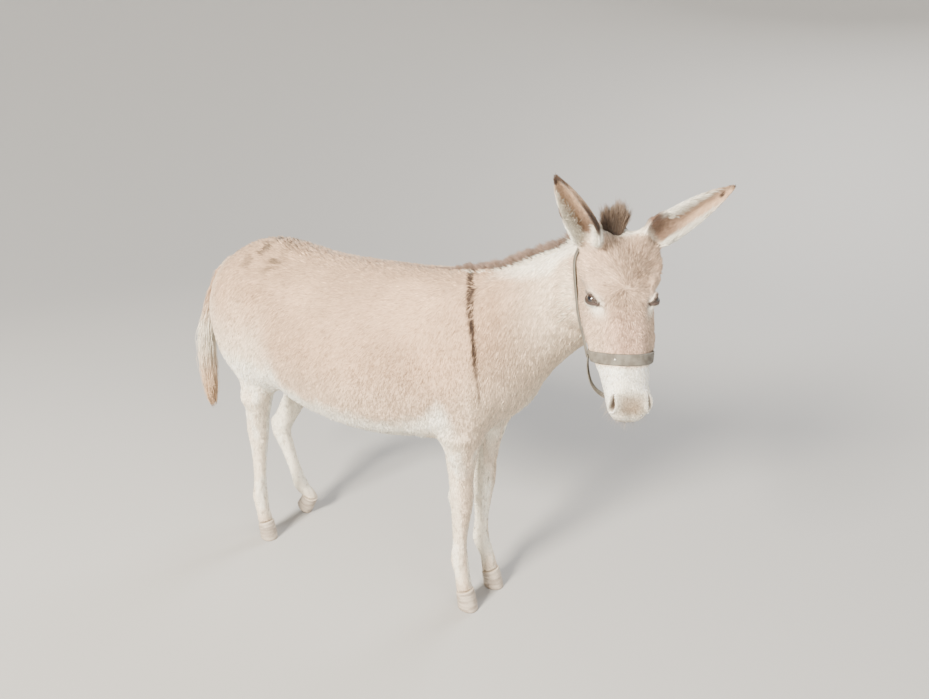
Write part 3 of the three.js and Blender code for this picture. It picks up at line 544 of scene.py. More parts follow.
def grained(made, grain, detail, low, high, bump=0, strength=0.5):
    """The markings come from the mesh's own tone, broken up by a fine grain."""
    shader = made.node_tree.nodes["Principled BSDF"]
    tone = node(made, "ShaderNodeVertexColor", layer_name="tone")
    place = node(made, "ShaderNodeTexCoord")
    speckle = node(made, "ShaderNodeTexNoise", Scale=grain, Detail=detail)
    link(made, place, "Object", speckle, "Vector")
    spread = node(made, "ShaderNodeMapRange")
    spread.inputs["To Min"].default_value = low
    spread.inputs["To Max"].default_value = high
    link(made, speckle, "Fac", spread, "Value")
    times = node(made, "ShaderNodeVectorMath", operation="SCALE")
    link(made, tone, "Color", times, "Vector")
    made.node_tree.links.new(spread.outputs["Result"], times.inputs["Scale"])
    link(made, times, "Vector", shader, "Base Color")
    if bump:
        rough = node(made, "ShaderNodeBump", Strength=strength, Distance=bump)
        link(made, speckle, "Fac", rough, "Height")
        link(made, rough, "Normal", shader, "Normal")
    return made


def hair_material(name, roughness, grain, low, high, bump):
    made = material(name, (0.5, 0.4, 0.3), roughness, Sheen_Weight=0.12, Sheen_Roughness=0.4)
    made.node_tree.nodes["Principled BSDF"].inputs["Specular IOR Level"].default_value = 0.25
    return grained(made, grain, 3.0, low, high, bump)


SKIN_LOOK = hair_material("short_coat_base", 0.85, 260.0, 0.8, 1.15, 0.002)
COAT_LOOK = hair_material("short_coat", 0.8, 500.0, 0.85, 1.15, 0)
LONG_LOOK = hair_material("long_hair", 0.6, 700.0, 0.8, 1.2, 0)

# ---- Markings -------------------------------------------------------------------------------------


def lattice(i, j, k, seed):
    n = (i * 374761393 + j * 668265263 + k * 2147483647 + seed * 1274126177) & 0xFFFFFFFF
    n = ((n ^ (n >> 13)) * 1274126177) & 0xFFFFFFFF
    return ((n ^ (n >> 16)) & 0xFFFF) / 65535.0


def noise(p, size, seed=0):
    """Smooth value noise from 0 to 1, with lumps of the given size."""
    q = p / np.asarray(size, float)
    base = np.floor(q).astype(np.int64)
    f = q - base
    f = f * f * (3 - 2 * f)
    total = 0
    for dx in (0, 1):
        for dy in (0, 1):
            for dz in (0, 1):
                w = (f[:, 0] if dx else 1 - f[:, 0]) * (f[:, 1] if dy else 1
                                                        - f[:, 1]) * (f[:, 2] if dz else 1 - f[:, 2])
                total = total + w * lattice(base[:, 0] + dx, base[:, 1] + dy, base[:, 2] + dz, seed)
    return total


GREY = np.array([0.46, 0.31, 0.205])
FACE_GREY = np.array([0.49, 0.35, 0.25])
DIRT = np.array([0.24, 0.165, 0.105])
PALE = np.array([0.83, 0.70, 0.54])
WHITE = np.array([0.93, 0.875, 0.75])
DARK = np.array([0.10, 0.065, 0.048])
BROWN = np.array([0.15, 0.09, 0.062])
TAN = np.array([0.44, 0.27, 0.145])
PINK = np.array([0.58, 0.39, 0.29])
MUZZLE_GREY = np.array([0.27, 0.20, 0.15])
MUZZLE_TAN = np.array([0.27, 0.19, 0.12])
RIM = np.array([0.05, 0.035, 0.03])
STRIPE = np.array([(1100, 0), (1042, 18), (1006, 50), (942, 71), (873, 92), (770, 109), (726, 111),
                   (600, 115)], float)[::-1]
BELLY_EDGE = np.array([(-700, 700), (-600, 688), (-500, 664), (-430, 654), (-311, 641), (-156, 634),
                       (-60, 654), (0, 700), (40, 650)], float)


def plain(colour, count):
    return np.repeat(np.asarray(colour)[None], count, axis=0)


def over(colour, paint, share):
    return colour + (paint - colour) * np.clip(share, 0, 1)[:, None]


NOSEBAND_SLOPE = 0.43


def noseband_x(z):
    return 314 + (z + 14) * NOSEBAND_SLOPE


def markings(p):
    """The coat's colour at points on the donkey, the same for the skin and for the hair over it."""
    h = to_head(p)
    head, ear, leg, tail = regions(p)
    rough = noise(p, 60, 1) - 0.5
    fine = noise(p, 14, 2) - 0.5
    c = plain(GREY, len(p))
    c = over(c, GREY * 1.25, 0.8 * smooth(0.35, 0.75, noise(p, (120, 120, 160), 3)))
    c = over(c, PALE, 0.30 * smooth(820, 640, p[:, 2]))
    c = over(c, PALE, 0.7 * smooth(90, 300, p[:, 0]) * (1 - head))  # neck
    c = over(c, PALE, 0.45 * smooth(20, 120, p[:, 0]) * smooth(900, 700, p[:, 2]) * (1 - head))  # breast
    crest_z = np.interp(p[:, 0], (-30, 70, 165, 250, 322, 382), (1032, 1060, 1092, 1125, 1158, 1190))
    c = over(c, WHITE, 0.7 * smooth(-60, -25, p[:, 2] - crest_z + 30 * rough) * smooth(60, 160, p[:, 0])
             * (1 - head))
    c = over(c, PALE, 0.35 * smooth(-820, -930, p[:, 0]))
    # dirt on the croup
    patch = blob(p, (-650, -40, 1000), (80, 110, 90), 3) * smooth(0.38, 0.62, noise(p, (24, 24, 20), 4))
    c = over(c, DIRT, 0.75 * patch)
    c = over(c, DIRT, 0.35 * blob(p, (-560, -60, 1000), (150, 120, 70)) * smooth(0.4, 0.7, noise(p, 40, 5)))
    streak = smooth(0.52, 0.7, noise(p, (26, 26, 9), 13)) * smooth(0.3, 0.5, noise(p, (50, 50, 50), 14))
    c = over(c, DIRT * 0.45, 0.9 * streak * blob(p, (-640, 0, 1010), (100, 150, 90), 4))
    c = over(c, PALE, 0.85 * smooth(930, 690, p[:, 2] + 50 * rough) * smooth(-530, -660, p[:, 0]))
    c = over(c, WHITE, 0.95 * blob(p, (-572, 0, 676), (34, 1e4, 52)) * smooth(120, 150, np.abs(p[:, 1])))
    back = smooth(14, 5, np.abs(p[:, 1]) + 6 * fine) * smooth(930, 990, p[:, 2]) * (p[:, 0] < 40) * (1 - head)
    c = over(c, BROWN, (0.25 + 0.5 * smooth(-260, -60, p[:, 0])) * back)
    edge = np.interp(p[:, 0], BELLY_EDGE[:, 0], BELLY_EDGE[:, 1])
    belly = smooth(34, -30, p[:, 2] - edge + 26 * rough + 18 * fine) * smooth(60, -10, p[:, 0])
    c = over(c, WHITE, 0.92 * belly)
    groin = smooth(0, 1, blob(p, (-600, 0, 640), (110, 110, 110), 2) * 1.3)
    c = over(c, WHITE, groin)
    brisket = smooth(45, 15, np.abs(p[:, 1])) * smooth(760, 640, p[:, 2])
    c = over(c, WHITE, 0.6 * brisket)
    # the shoulder stripe
    line = np.interp(p[:, 2], STRIPE[:, 0], STRIPE[:, 1])
    wide = np.interp(p[:, 2], (700, 760, 870, 940, 1040), (1.5, 2.5, 5, 8, 10))
    stripe = smooth(wide + 3, wide - 2, np.abs(p[:, 0] - line) + 1.5 * fine) * smooth(700, 750,
                                                                                      p[:, 2]) * (1 - head)
    c = over(c, BROWN * 0.3, (0.65 + 0.35 * smooth(780, 860, p[:, 2])) * stripe)
    # legs
    c = over(c, PALE, 0.85 * leg)
    inner = np.abs(p[:, 1]) < np.where(p[:, 0] > -300, 66, 100)
    c = over(c, WHITE, 0.6 * leg * inner)
    c = over(c, WHITE, 0.7 * leg * smooth(0.5, 0.7, noise(p, (30, 30, 70), 6)))
    c = over(c, GREY * 1.2, 0.4 * leg * (p[:, 0] > 20) * smooth(0.35, 0.6, noise(p, (40, 40, 120), 7)))
    flecks = smooth(0.80, 0.86, noise(p, 7, 8)) * leg
    c = over(c, BROWN, 0.45 * flecks)
    feet = smooth(110, 70, p[:, 2])
    c = over(c, TAN * 0.9, 0.35 * feet)
    c = over(c, DARK, 0.7 * blob(p, (-22, 66, 150), (9, 14, 12)) + 0.4 * blob(p, (-22, -66, 150), (8, 12, 9)))
    # tail
    c = over(c, PALE, 0.8 * tail * smooth(900, 780, p[:, 2]))
    c = over(c, TAN, 0.7 * tail * smooth(680, 520, p[:, 2]))
    # head
    x, y, z = h[:, 0], h[:, 1], h[:, 2]
    face = plain(FACE_GREY, len(p))
    face = over(face, PINK * 1.05, 0.7 * smooth(60, 20, np.abs(y)) * smooth(170, 240, x))
    from_whorl = h - [150.0, 0, 4]
    ray = np.arctan2(from_whorl[:, 1], from_whorl[:, 0])
    spoke = noise(np.stack([ray * 34, np.linalg.norm(from_whorl, axis=1) / 16, 0 * ray], axis=1), 1.0, 9)
    face = over(face, GREY * 0.6, 0.62 * blob(h, (115, 0, 4), (110, 62, 44), 3) * smooth(0.40, 0.75, spoke))
    face = over(face, PALE, 0.7 * smooth(-105, -150, z + 20 * rough))
    face = over(face, PALE, 0.45 * smooth(45, 75, np.abs(y)) * smooth(240, 300, x))
    for side in (-1, 1):
        a, b, out = eye_offsets(h, side)
        ring = np.exp(-((a / 27) ** 2 + (b / 15) ** 2) ** 1.2) * smooth(-10, 6, out)
        face = over(face, WHITE, 0.75 * ring)
        below = np.exp(-(((a - 16) / 26) ** 2 + ((b + 9) / 15) ** 2)) * smooth(-10, 6, out)
        face = over(face, WHITE, 0.95 * below)
        spread = EYE_RADIUS / np.maximum(np.linalg.norm(h - eye_frame(side)[0], axis=1), 1)
        rim = smooth(6.6, 4.0, opening_gap(a * spread, b * spread)) * (spread > 0.62) * (out > 2)
        face = over(face, RIM * 2, 0.85 * rim)
        inner, outer = a - 16, -18 - a
        wedge = smooth(4.6, 2.2, np.abs(b) + 0.10 * np.maximum(inner, 0))
        wedge = wedge * smooth(-6, 0, inner) * smooth(22, 14, inner)
        wedge = np.maximum(wedge, smooth(5.4, 3.0, np.abs(b - 1) + 0.12 * np.maximum(outer, 0))
                           * smooth(-6, 0, outer) * smooth(20, 12, outer))
        face = over(face, RIM * 1.8, 0.92 * wedge * smooth(-14, -6, out))
    nose = smooth(6, 22, x - noseband_x(z) + 10 * rough)
    face = over(face, WHITE * 1.02, nose)
    face = over(face, DIRT, 0.45 * nose * smooth(0.83, 0.9, noise(h, 5, 12)) * (x < 395))
    between = blob(h, (408, 0, -40), (26, 34, 34), 4)
    face = over(face, MUZZLE_TAN, between * (0.85 + 0.4 * rough))
    face = over(face, MUZZLE_GREY, 0.55 * blob(h, (425, 0, -80), (30, 40, 14), 3))
    lips_low = smooth(-88, -100, z) * smooth(372, 400, x)
    face = over(face, WHITE * 0.95, 0.8 * lips_low * smooth(-112, -100, z))
    face = over(face, MUZZLE_GREY, 0.7 * smooth(-112, -122, z) * smooth(380, 400, x))
    c = over(c, face, head)
    # ears
    for side in EARS:
        e = to_ear(h, side)
        mine = ear * (np.hypot(e[:, 0], e[:, 1]) < 80) * (e[:, 2] < 290)
        t = e[:, 2] / EAR_LENGTH
        inside = smooth(-14, 4, e[:, 0] + 0.12 * np.abs(e[:, 1]))
        shade = over(plain(GREY, len(p)), BROWN * 0.9, 0.85 * smooth(0.55, 0.2, t))
        rim = smooth(28, 36, np.abs(e[:, 1])) * smooth(0.15, 0.3, t)
        shade = over(shade, BROWN, 0.6 * rim)
        if side == "left":
            wide = np.interp(t, (0.0, 0.25, 0.4, 0.5, 0.7, 1.0), (30, 18, 9, 4, 5, 12))
            gap_tone = over(plain(TAN * 0.95, len(p)), BROWN * 0.8, smooth(0.40, 0.55, t))
            root_tone = smooth(-10, -20, e[:, 1]) * smooth(0.32, 0.18, t)
            gap_tone = over(gap_tone, BROWN * 0.9, root_tone)
        else:
            wide = np.interp(t, (0.0, 0.15, 0.22, 0.45, 0.6, 0.7, 1.0), (0, 1, 6, 3, 5, 0, 0))
            gap_tone = plain(BROWN * 0.75, len(p))
        off_middle = -9.0 if side == "left" else -7.0
        middle = smooth(wide + 4, wide - 2, np.abs(e[:, 1] - off_middle + 10 * fine))
        within = over(plain(WHITE * 0.98, len(p)), gap_tone, 0.9 * middle)
        if side == "left":
            within = over(within, BROWN * 1.2, smooth(-10, -22, e[:, 1]) * smooth(0.36, 0.22, t))
        if side == "right":
            within = over(within, BROWN * 0.35, smooth(8, 13, e[:, 1] + 8 * fine) * smooth(0.16, 0.3, t))
            within = over(within, BROWN * 0.7, smooth(-29, -34, e[:, 1] + 4 * fine) * smooth(0.3, 0.5, t))
        shade = over(shade, within, inside)
        shade = over(shade, BROWN * 0.45, smooth(0.86 if side == "right" else 0.9, 0.95, t + 0.3 * fine))
        c = over(c, shade, mine)
    return np.clip(c * (1 + 0.14 * fine + 0.10 * rough)[:, None], 0.01, 0.95)


def paint(obj, rgb, domain="POINT"):
    layer = obj.data.color_attributes.new(name="tone", type="FLOAT_COLOR", domain=domain)
    rgba = np.ones((len(rgb), 4), np.float32)
    rgba[:, :3] = rgb
    layer.data.foreach_set("color", rgba.ravel())


tone = markings(body)
# painted shade: the hollow of each nostril is painted near black; the grey ring round it is the muzzle's own
# colour
for gap in nostril_gaps:
    tone = over(tone, RIM * 0.6, smooth(0.5, -2.0, gap))
    tone = over(tone, MUZZLE_GREY * 0.7, 0.6 * smooth(4.5, 1.0, gap))
h = to_head(body)
# painted shade: a dark line along the crease where the lips meet
lips_line = np.exp(-((h[:, 2] - mouth_height(h[:, 0])) / 1.6) ** 2) * smooth(350, 358, h[:, 0]) * head
tone = over(tone, RIM, 0.8 * lips_line)
for side in (-1, 1):
    a, b, out, radial, gap = lid_gap(h, side)
    here = (out > 2) * (radial < 40)
    tone = over(tone, RIM, here * smooth(5.5, 3.5, gap))
    tear = smooth(5.4, 3.0, np.abs(b) + 0.16 * np.maximum(a - OPENING[1], 0)) * smooth(OPENING[1] - 8,
                                                                                       OPENING[1] - 4, a)
    tone = over(tone, RIM * 1.6, 0.9 * tear * smooth(OPENING[1] + 14, OPENING[1] + 10, a) * here)
    tone = over(tone, RIM * 1.6, 0.8 * here * smooth(4.5, 2.0, gap) * smooth(-14, -20, a))
paint(skin, tone)
skin.data.materials.clear()
skin.data.materials.append(SKIN_LOOK)
skin.data.polygons.foreach_set("use_smooth", np.ones(len(skin.data.polygons), bool))
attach(skin, "root")
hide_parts(*FLESH)

# ---- Eyes -----------------------------------------------------------------------------------------


def eye_material():
    made = material("eye", (0.02, 0.012, 0.008), 0.05, Coat_Weight=1.0, Coat_Roughness=0.03)
    shader = made.node_tree.nodes["Principled BSDF"]
    place = node(made, "ShaderNodeTexCoord")
    squash = node(made, "ShaderNodeVectorMath", operation="MULTIPLY")
    squash.inputs[1].default_value = (0.62, 1.0, 0.0)
    link(made, place, "Object", squash, 0)
    size = node(made, "ShaderNodeVectorMath", operation="LENGTH")
    link(made, squash, "Vector", size, 0)
    ramp = node(made, "ShaderNodeValToRGB")
    stops = [(0.0, (0.003, 0.003, 0.005)), (0.26, (0.003, 0.003, 0.005)), (0.31, (0.034, 0.017, 0.009)),
             (0.58, (0.022, 0.011, 0.007)), (0.70, (0.006, 0.004, 0.003)), (1.0, (0.045, 0.032, 0.026))]
    while len(ramp.color_ramp.elements) < len(stops):
        ramp.color_ramp.elements.new(0.5)
    for element, (at, colour) in zip(ramp.color_ramp.elements, stops):
        element.position = at
        element.color = (*colour, 1)
    scale = node(made, "ShaderNodeMath", operation="DIVIDE")
    scale.inputs[1].default_value = EYE_RADIUS * HEAD_SIZE / 1000
    made.node_tree.links.new(size.outputs["Value"], scale.inputs[0])
    link(made, scale, "Value", ramp, "Fac")
    streak = node(made, "ShaderNodeTexNoise", Scale=700.0, Detail=2.0)
    link(made, place, "Object", streak, "Vector")
    blend = node(made, "ShaderNodeVectorMath", operation="SCALE")
    link(made, ramp, "Color", blend, "Vector")
    link(made, streak, "Fac", blend, "Scale")
    bright = node(made, "ShaderNodeVectorMath", operation="SCALE")
    bright.inputs["Scale"].default_value = 2.0
    link(made, blend, "Vector", bright, "Vector")
    link(made, bright, "Vector", shader, "Base Color")
    return made


def finish_piece(obj, look, nodes):
    obj.data.materials.append(look)
    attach(obj, "root")
    if nodes:
        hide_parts(*nodes)


def rings_to_faces(rows, sides):
    r, i = np.meshgrid(np.arange(rows - 1), np.arange(sides), indexing="ij")
    j = (i + 1) % sides
    quads = np.stack([r * sides + i, r * sides + j, (r + 1) * sides + j, (r + 1) * sides + i], axis=-1)
    return quads.reshape(-1, 4)


def capped(rows, sides):
    """Rings of points joined into a closed form, with a flat cap at each end."""
    last = (rows - 1) * sides
    caps = [tuple(range(sides - 1, -1, -1)), tuple(range(last, last + sides))]
    return [tuple(f) for f in rings_to_faces(rows, sides)] + caps


EYE_LOOK = eye_material()
for side, word in ((-1, "right"), (1, "left")):
    centre, way, along, above = eye_frame(side)
    SIDES, ROWS = 48, 30
    polar = np.linspace(0.02, np.pi - 0.02, ROWS)
    around = np.arange(SIDES) / SIDES * 2 * np.pi
    radius = EYE_RADIUS * HEAD_SIZE / 1000 * (1 + 0.05 * np.exp(-(polar / 0.5) ** 2))
    wide = np.sin(polar) * radius
    ring = np.stack([np.outer(wide, np.cos(around)), np.outer(wide, np.sin(around)),
                     np.outer(np.cos(polar) * radius, np.ones(SIDES))], axis=-1).reshape(-1, 3)
    faces = capped(ROWS, SIDES)
    ball = new_object("eyeball_" + word, ring, faces)
    axes = np.stack([head_way(along), head_way(above), head_way(way)], axis=1)
    if np.linalg.det(axes) < 0:
        axes[:, 1] *= -1
    ball.matrix_world = Matrix.Translation(to_metres(from_head(centre))) @ Matrix(axes.tolist()).to_4x4()
    finish_piece(ball, EYE_LOOK, ["eye_" + word])

# ---- The coat: joined meshes of small tufts ---------------------------------------------------------
rng = np.random.default_rng(7)
WHORL = np.array([150.0, 0, 4])


def eye_gap(h, side):
    _, _, out, radial, gap = lid_gap(h, side)
    return np.where((out > 0) & (radial < 60), gap, FAR)


def lie(p, normal):
    """Which way the hair lies at points of the skin, along the surface."""
    h = to_head(p)
    head, ear, leg, tail = regions(p)
    n = len(p)
    way = np.repeat([[-0.9, 0.0, -0.3]], n, axis=0)
    way = mix(way, np.array([-0.6, 0.0, -0.8]), smooth(990, 860, p[:, 2])[:, None])
    way = mix(way, np.array([-0.3, 0.0, -1.0]),
              (smooth(860, 640, p[:, 2]) * smooth(-500, -150, p[:, 0]))[:, None])
    way = mix(way, np.array([-0.45, 0.0, -1.0]), smooth(-620, -780, p[:, 0])[:, None])
    way = mix(way, np.array([-0.22, 0.0, -1.0]),
              (smooth(-110, 10, p[:, 0]) * smooth(1040, 980, p[:, 2]))[:, None])
    way = mix(way, np.array([-0.35, 0.0, -1.0]), smooth(40, 140, p[:, 0])[:, None])
    way = mix(way, np.array([-0.12, 0.0, -1.0]), leg[:, None])
    way = mix(way, np.array([0.0, 0.0, -1.0]), tail[:, None])
    off = h - WHORL
    around = np.stack([-off[:, 1], off[:, 0], np.zeros(n)], axis=1)
    face = unit(off) + 0.35 * unit(around) * np.exp(-(np.linalg.norm(off, axis=1) / 40) ** 2)[:, None]
    face = mix(face, np.array([0.85, 0, -0.5]), smooth(250, 380, h[:, 0])[:, None])
    for side in (-1, 1):
        away = h - eye_frame(side)[0]
        reach = np.linalg.norm(away, axis=1)
        face = face + unit(away) * (1.6 * np.exp(-(reach / 34) ** 2))[:, None]
    way = mix(way, face @ HEAD_AXES.T, head[:, None])
    for side in EARS:
        e = to_ear(h, side)
        near = ear * (np.hypot(e[:, 0], e[:, 1]) < 80) * (e[:, 2] < 290)
        way = mix(way, head_way(EARS[side][1][:, 2]), near[:, None])
    # swirls: broad waves and finer ones
    wave = np.stack([noise(p, 70, k) + 0.6 * noise(p, 24, k + 3) - 0.8 for k in (21, 22, 23)], axis=1)
    way = unit(way) + wave * mix(mix(0.30, 0.22, head), 0.2, ear)[:, None]
    way = way - normal * (way * normal).sum(axis=1)[:, None]
    return unit(way)


class Surface:
    """The skin as arrays, to scatter hair roots over."""

    def __init__(self, obj):
        mesh = obj.data
        mesh.calc_loop_triangles()
        tri = np.empty(len(mesh.loop_triangles) * 3, np.int32)
        mesh.loop_triangles.foreach_get("vertices", tri)
        self.tri = tri.reshape(-1, 3)
        self.p = points_of(obj)
        self.n = normals_of(obj)
        a, b, c = (self.p[self.tri[:, k]] for k in range(3))
        self.area = np.linalg.norm(np.cross(b - a, c - a), axis=1) / 2
        self.middle = (a + b + c) / 3
        self.facing = unit(self.n[self.tri].mean(axis=1))

    def scatter(self, count, weight):
        chance = self.area * weight
        pick = rng.choice(len(self.tri), size=count, p=chance / chance.sum())
        u, v = rng.random(count), rng.random(count)
        flip = u + v > 1
        u, v = np.where(flip, 1 - u, u), np.where(flip, 1 - v, v)
        share = np.stack([1 - u - v, u, v], axis=1)[:, :, None]
        return (self.p[self.tri[pick]]
                * share).sum(axis=1), unit((self.n[self.tri[pick]] * share).sum(axis=1))


def inside_map(u, v):
    return np.clip(np.stack([u, v], axis=1), 0.004, 0.996)


def unwrap_round(along, low, high, angle, start=0.0, wide=1.0):
    """A place on the unwrap: along the part in U, round it in V, each kept inside 0 to 1."""
    u = start + wide * np.clip((along - low) / (high - low), 0, 1)
    return inside_map(u, angle / (2 * np.pi) % 1.0)


TRUNK_TUFTS = 43000  # a side
NECK_TUFTS = 38000
HEAD_TUFTS = 37000  # a side
EAR_TUFTS = 18000
LEG_TUFTS = 22000  # a pair
EAR_FRINGE, CHIN_HAIRS, LASHES = 1100, 340, 44
TUFT_WIDTH = 1.9
PATCH = 0.0015  # half a tuft's patch on the unwrap


def add_bake_map(obj, uv):
    layer = obj.data.uv_layers.new(name="OFBake")
    loops = np.empty(len(obj.data.loops), np.int32)
    obj.data.loops.foreach_get("vertex_index", loops)
    layer.data.foreach_set("uv", uv[loops].astype(np.float32).ravel())


def tufts(name, root, normal, length, width, rise, uv):
    """Each tuft is a closed sliver: two root corners, a ridge along its back, and a tip."""
    way = lie(root, normal)
    across = np.cross(normal, way)
    count = len(root)
    length = length * rng.uniform(0.75, 1.25, count)
    lift = rise * rng.uniform(0.4, 1.5, count)
    side = across * (width * rng.uniform(0.75, 1.25, count) / 2)[:, None]
    curl = across * (length * rng.normal(0, 0.12, count))[:, None]
    base = root - normal * 0.8
    ridge = root + way * (0.45 * length)[:, None] + normal * (0.5 + 0.75 * lift * length)[:,
                                                                                          None] + curl * 0.3
    tip = root + way * length[:, None] + normal * (lift * length)[:, None] + curl
    points = np.stack([base - side, base + side, ridge, tip], axis=1).reshape(-1, 3)
    start = np.arange(count)[:, None] * 4
    faces = np.concatenate([start + [0, 2, 1], start + [0, 3, 2], start + [2, 3, 1], start + [1, 3, 0]],
                           axis=1)
    made = new_object(name, to_metres(points), faces.reshape(-1, 3))
    grain = mix(0.17, 0.28, regions(root)[0])
    colour = markings(root) * np.exp(rng.normal(0, 1, count) * grain - 0.02)[:, None]
    # painted shade and highlight: each tuft's root corners are painted darker and its tip lighter
    shade = np.array([0.82, 0.82, 1.0, 1.1])[None, :, None]
    paint(made, np.clip(colour[:, None, :] * shade, 0, 1).reshape(-1, 3))
    patch = np.array([[-1, -1], [1, -1], [0, 0], [0, 1]]) * PATCH
    add_bake_map(made, (uv[:, None, :] + patch).reshape(-1, 2))
    # shade with the lie of the coat rather than sliver by sliver
    soft = np.stack([normal - across * 0.45, normal + across * 0.45, normal, normal + way * 0.35], axis=1)
    soft = soft + rng.normal(0, 0.16, (count, 1, 3))
    made.data.normals_split_custom_set_from_vertices(unit(soft).reshape(-1, 3).tolist())
    finish_piece(made, COAT_LOOK, None)


surface = Surface(skin)
where = surface.middle
w_head, w_ear, w_leg, w_tail = regions(where)
where_h = to_head(where)
is_ear = w_ear > 0.5
is_head = (w_head > 0.5) & ~is_ear
is_tail = (w_tail > 0.5) & ~is_head & ~is_ear
is_leg = (w_leg > 0.5) & ~is_tail
is_body = ~(is_ear | is_head | is_tail | is_leg)
is_neck = is_body & (where[:, 0] > 85)
bare = np.zeros(len(where), bool)
for side in (-1, 1):
    bare |= eye_gap(where_h, side) < 2.6
in_mouth = np.exp(-((where_h[:, 2] - mouth_height(where_h[:, 0])) / 2.0) ** 2) > 0.5
bare |= is_head & in_mouth & (where_h[:, 0] > 352)
for side in (-1, 1):
    a, b, out = nostril_offsets(where_h, side)
    bare |= is_head & (nostril_gap(a, b) < 1.0) & (np.hypot(a, b) < 30) & (out > -24)
covered = ~bare


def sized(value, *steps):
    """A size that changes along something: pairs of places and sizes."""
    return np.interp(value, [s[0] for s in steps], [s[1] for s in steps])


for word, sign in (("right", -1), ("left", 1)):
    dock = is_tail & (where[:, 2] > 800)
    chosen = ((is_body & ~is_neck) | dock) & (where[:, 1] * sign >= 0)
    p, n = surface.scatter(TRUNK_TUFTS, chosen * covered * sized(where[:, 2], (560, 1.0), (1050, 1.15)))
    length = sized(p[:, 0], (-900, 12), (-640, 16), (-300, 13), (60, 12)) * mix(1.0, 1.2,
                                                                                smooth(640, 560, p[:, 2]))
    rise = 0.11 + 0.13 * noise(p, 18, 31) + 0.12 * blob(p, (-640, 0, 1030), (120, 150, 70))
    rise = rise + 0.28 * smooth(100, 20, np.abs(p[:, 1])) * smooth(940, 1000, p[:, 2])
    angle = np.arctan2(p[:, 1], p[:, 2] - 800)
    uv = unwrap_round(p[:, 0], -990, 110, angle)
    tufts("coat_trunk_" + word, p, n, length, np.full(len(p), TUFT_WIDTH), rise, uv)

p, n = surface.scatter(NECK_TUFTS, is_neck * covered)
length = sized(p[:, 0], (85, 14), (300, 13), (430, 11))
rise = 0.14 + 0.16 * noise(p, 16, 32)
angle = np.arctan2(p[:, 1] + 0.1 * (p[:, 0] - 85), p[:, 2] - (800 + 0.75 * (p[:, 0] - 85)))
tufts("coat_neck", p, n, length, np.full(len(p), TUFT_WIDTH), rise,
      unwrap_round(p[:, 0] - p[:, 2] * 0.4, -400, 300, angle))

for word, sign in (("right", -1), ("left", 1)):
    chosen = is_head & (where_h[:, 1] * sign >= 0)
    density = sized(where_h[:, 0], (0, 0.8), (120, 1.0), (320, 1.2), (440, 1.9))
    p, n = surface.scatter(HEAD_TUFTS, chosen * covered * density)
    h = to_head(p)
    near_eye = smooth(22, 4, eye_gap(h, sign))
    length = sized(h[:, 0], (0, 12), (110, 11), (300, 8), (380, 5), (440, 3.6))
    length = mix(length * mix(1.0, 1.35, smooth(-150, -190, h[:, 2])), 3.6, near_eye)
    width = sized(h[:, 0], (0, 1.4), (200, 1.2), (400, 0.9))
    rise = mix(0.13 + 0.14 * noise(p, 11, 33), 0.1, near_eye)
    angle = np.arctan2(h[:, 1], h[:, 2] + 80)
    tufts("coat_head_" + word, p, n, length, mix(width, 0.8, near_eye), rise,
          unwrap_round(h[:, 0], -10, 445, angle))

p, n = surface.scatter(EAR_TUFTS, is_ear)
h = to_head(p)
ear_uv = np.zeros((len(p), 2))
for k, side in enumerate(EARS):
    e = to_ear(h, side)
    mine = (np.hypot(e[:, 0], e[:, 1]) < 85) & (e[:, 2] < 290)
    place = unwrap_round(e[:, 2], -10, 250, np.arctan2(e[:, 1], e[:, 0] + 20), 0.5 * k, 0.5)
    ear_uv[mine] = place[mine]
tufts("coat_ears", p, n, np.full(len(p), 8.0), np.full(len(p), 1.3), np.full(len(p), 0.16), ear_uv)

for word, chosen in (("fore", is_leg & (where[:, 0] > -300)), ("hind", is_leg & (where[:, 0] < -300))):
    p, n = surface.scatter(LEG_TUFTS, chosen * covered)
    length = sized(p[:, 2], (60, 7), (130, 8), (350, 8.5), (600, 14))
    width = sized(p[:, 2], (60, 1.3), (400, 1.6), (600, 2.2))
    centre_x = sized(p[:, 2], (60, 20), (150, -6), (600, 20)) if word == "fore" else np.full(len(p), -785.0)
    angle = np.arctan2(np.abs(p[:, 1]) - 84, p[:, 0] - centre_x)
    uv = unwrap_round(p[:, 2], 50, 640, angle, 0.0, 0.5)
    uv[:, 0] += 0.5 * (p[:, 1] > 0)
    rise = 0.13 + 0.12 * noise(p, 14, 34)
    tufts("coat_legs_" + word, p, n, length, width, rise, uv)

# ---- Long hair -------------------------------------------------------------------------------------


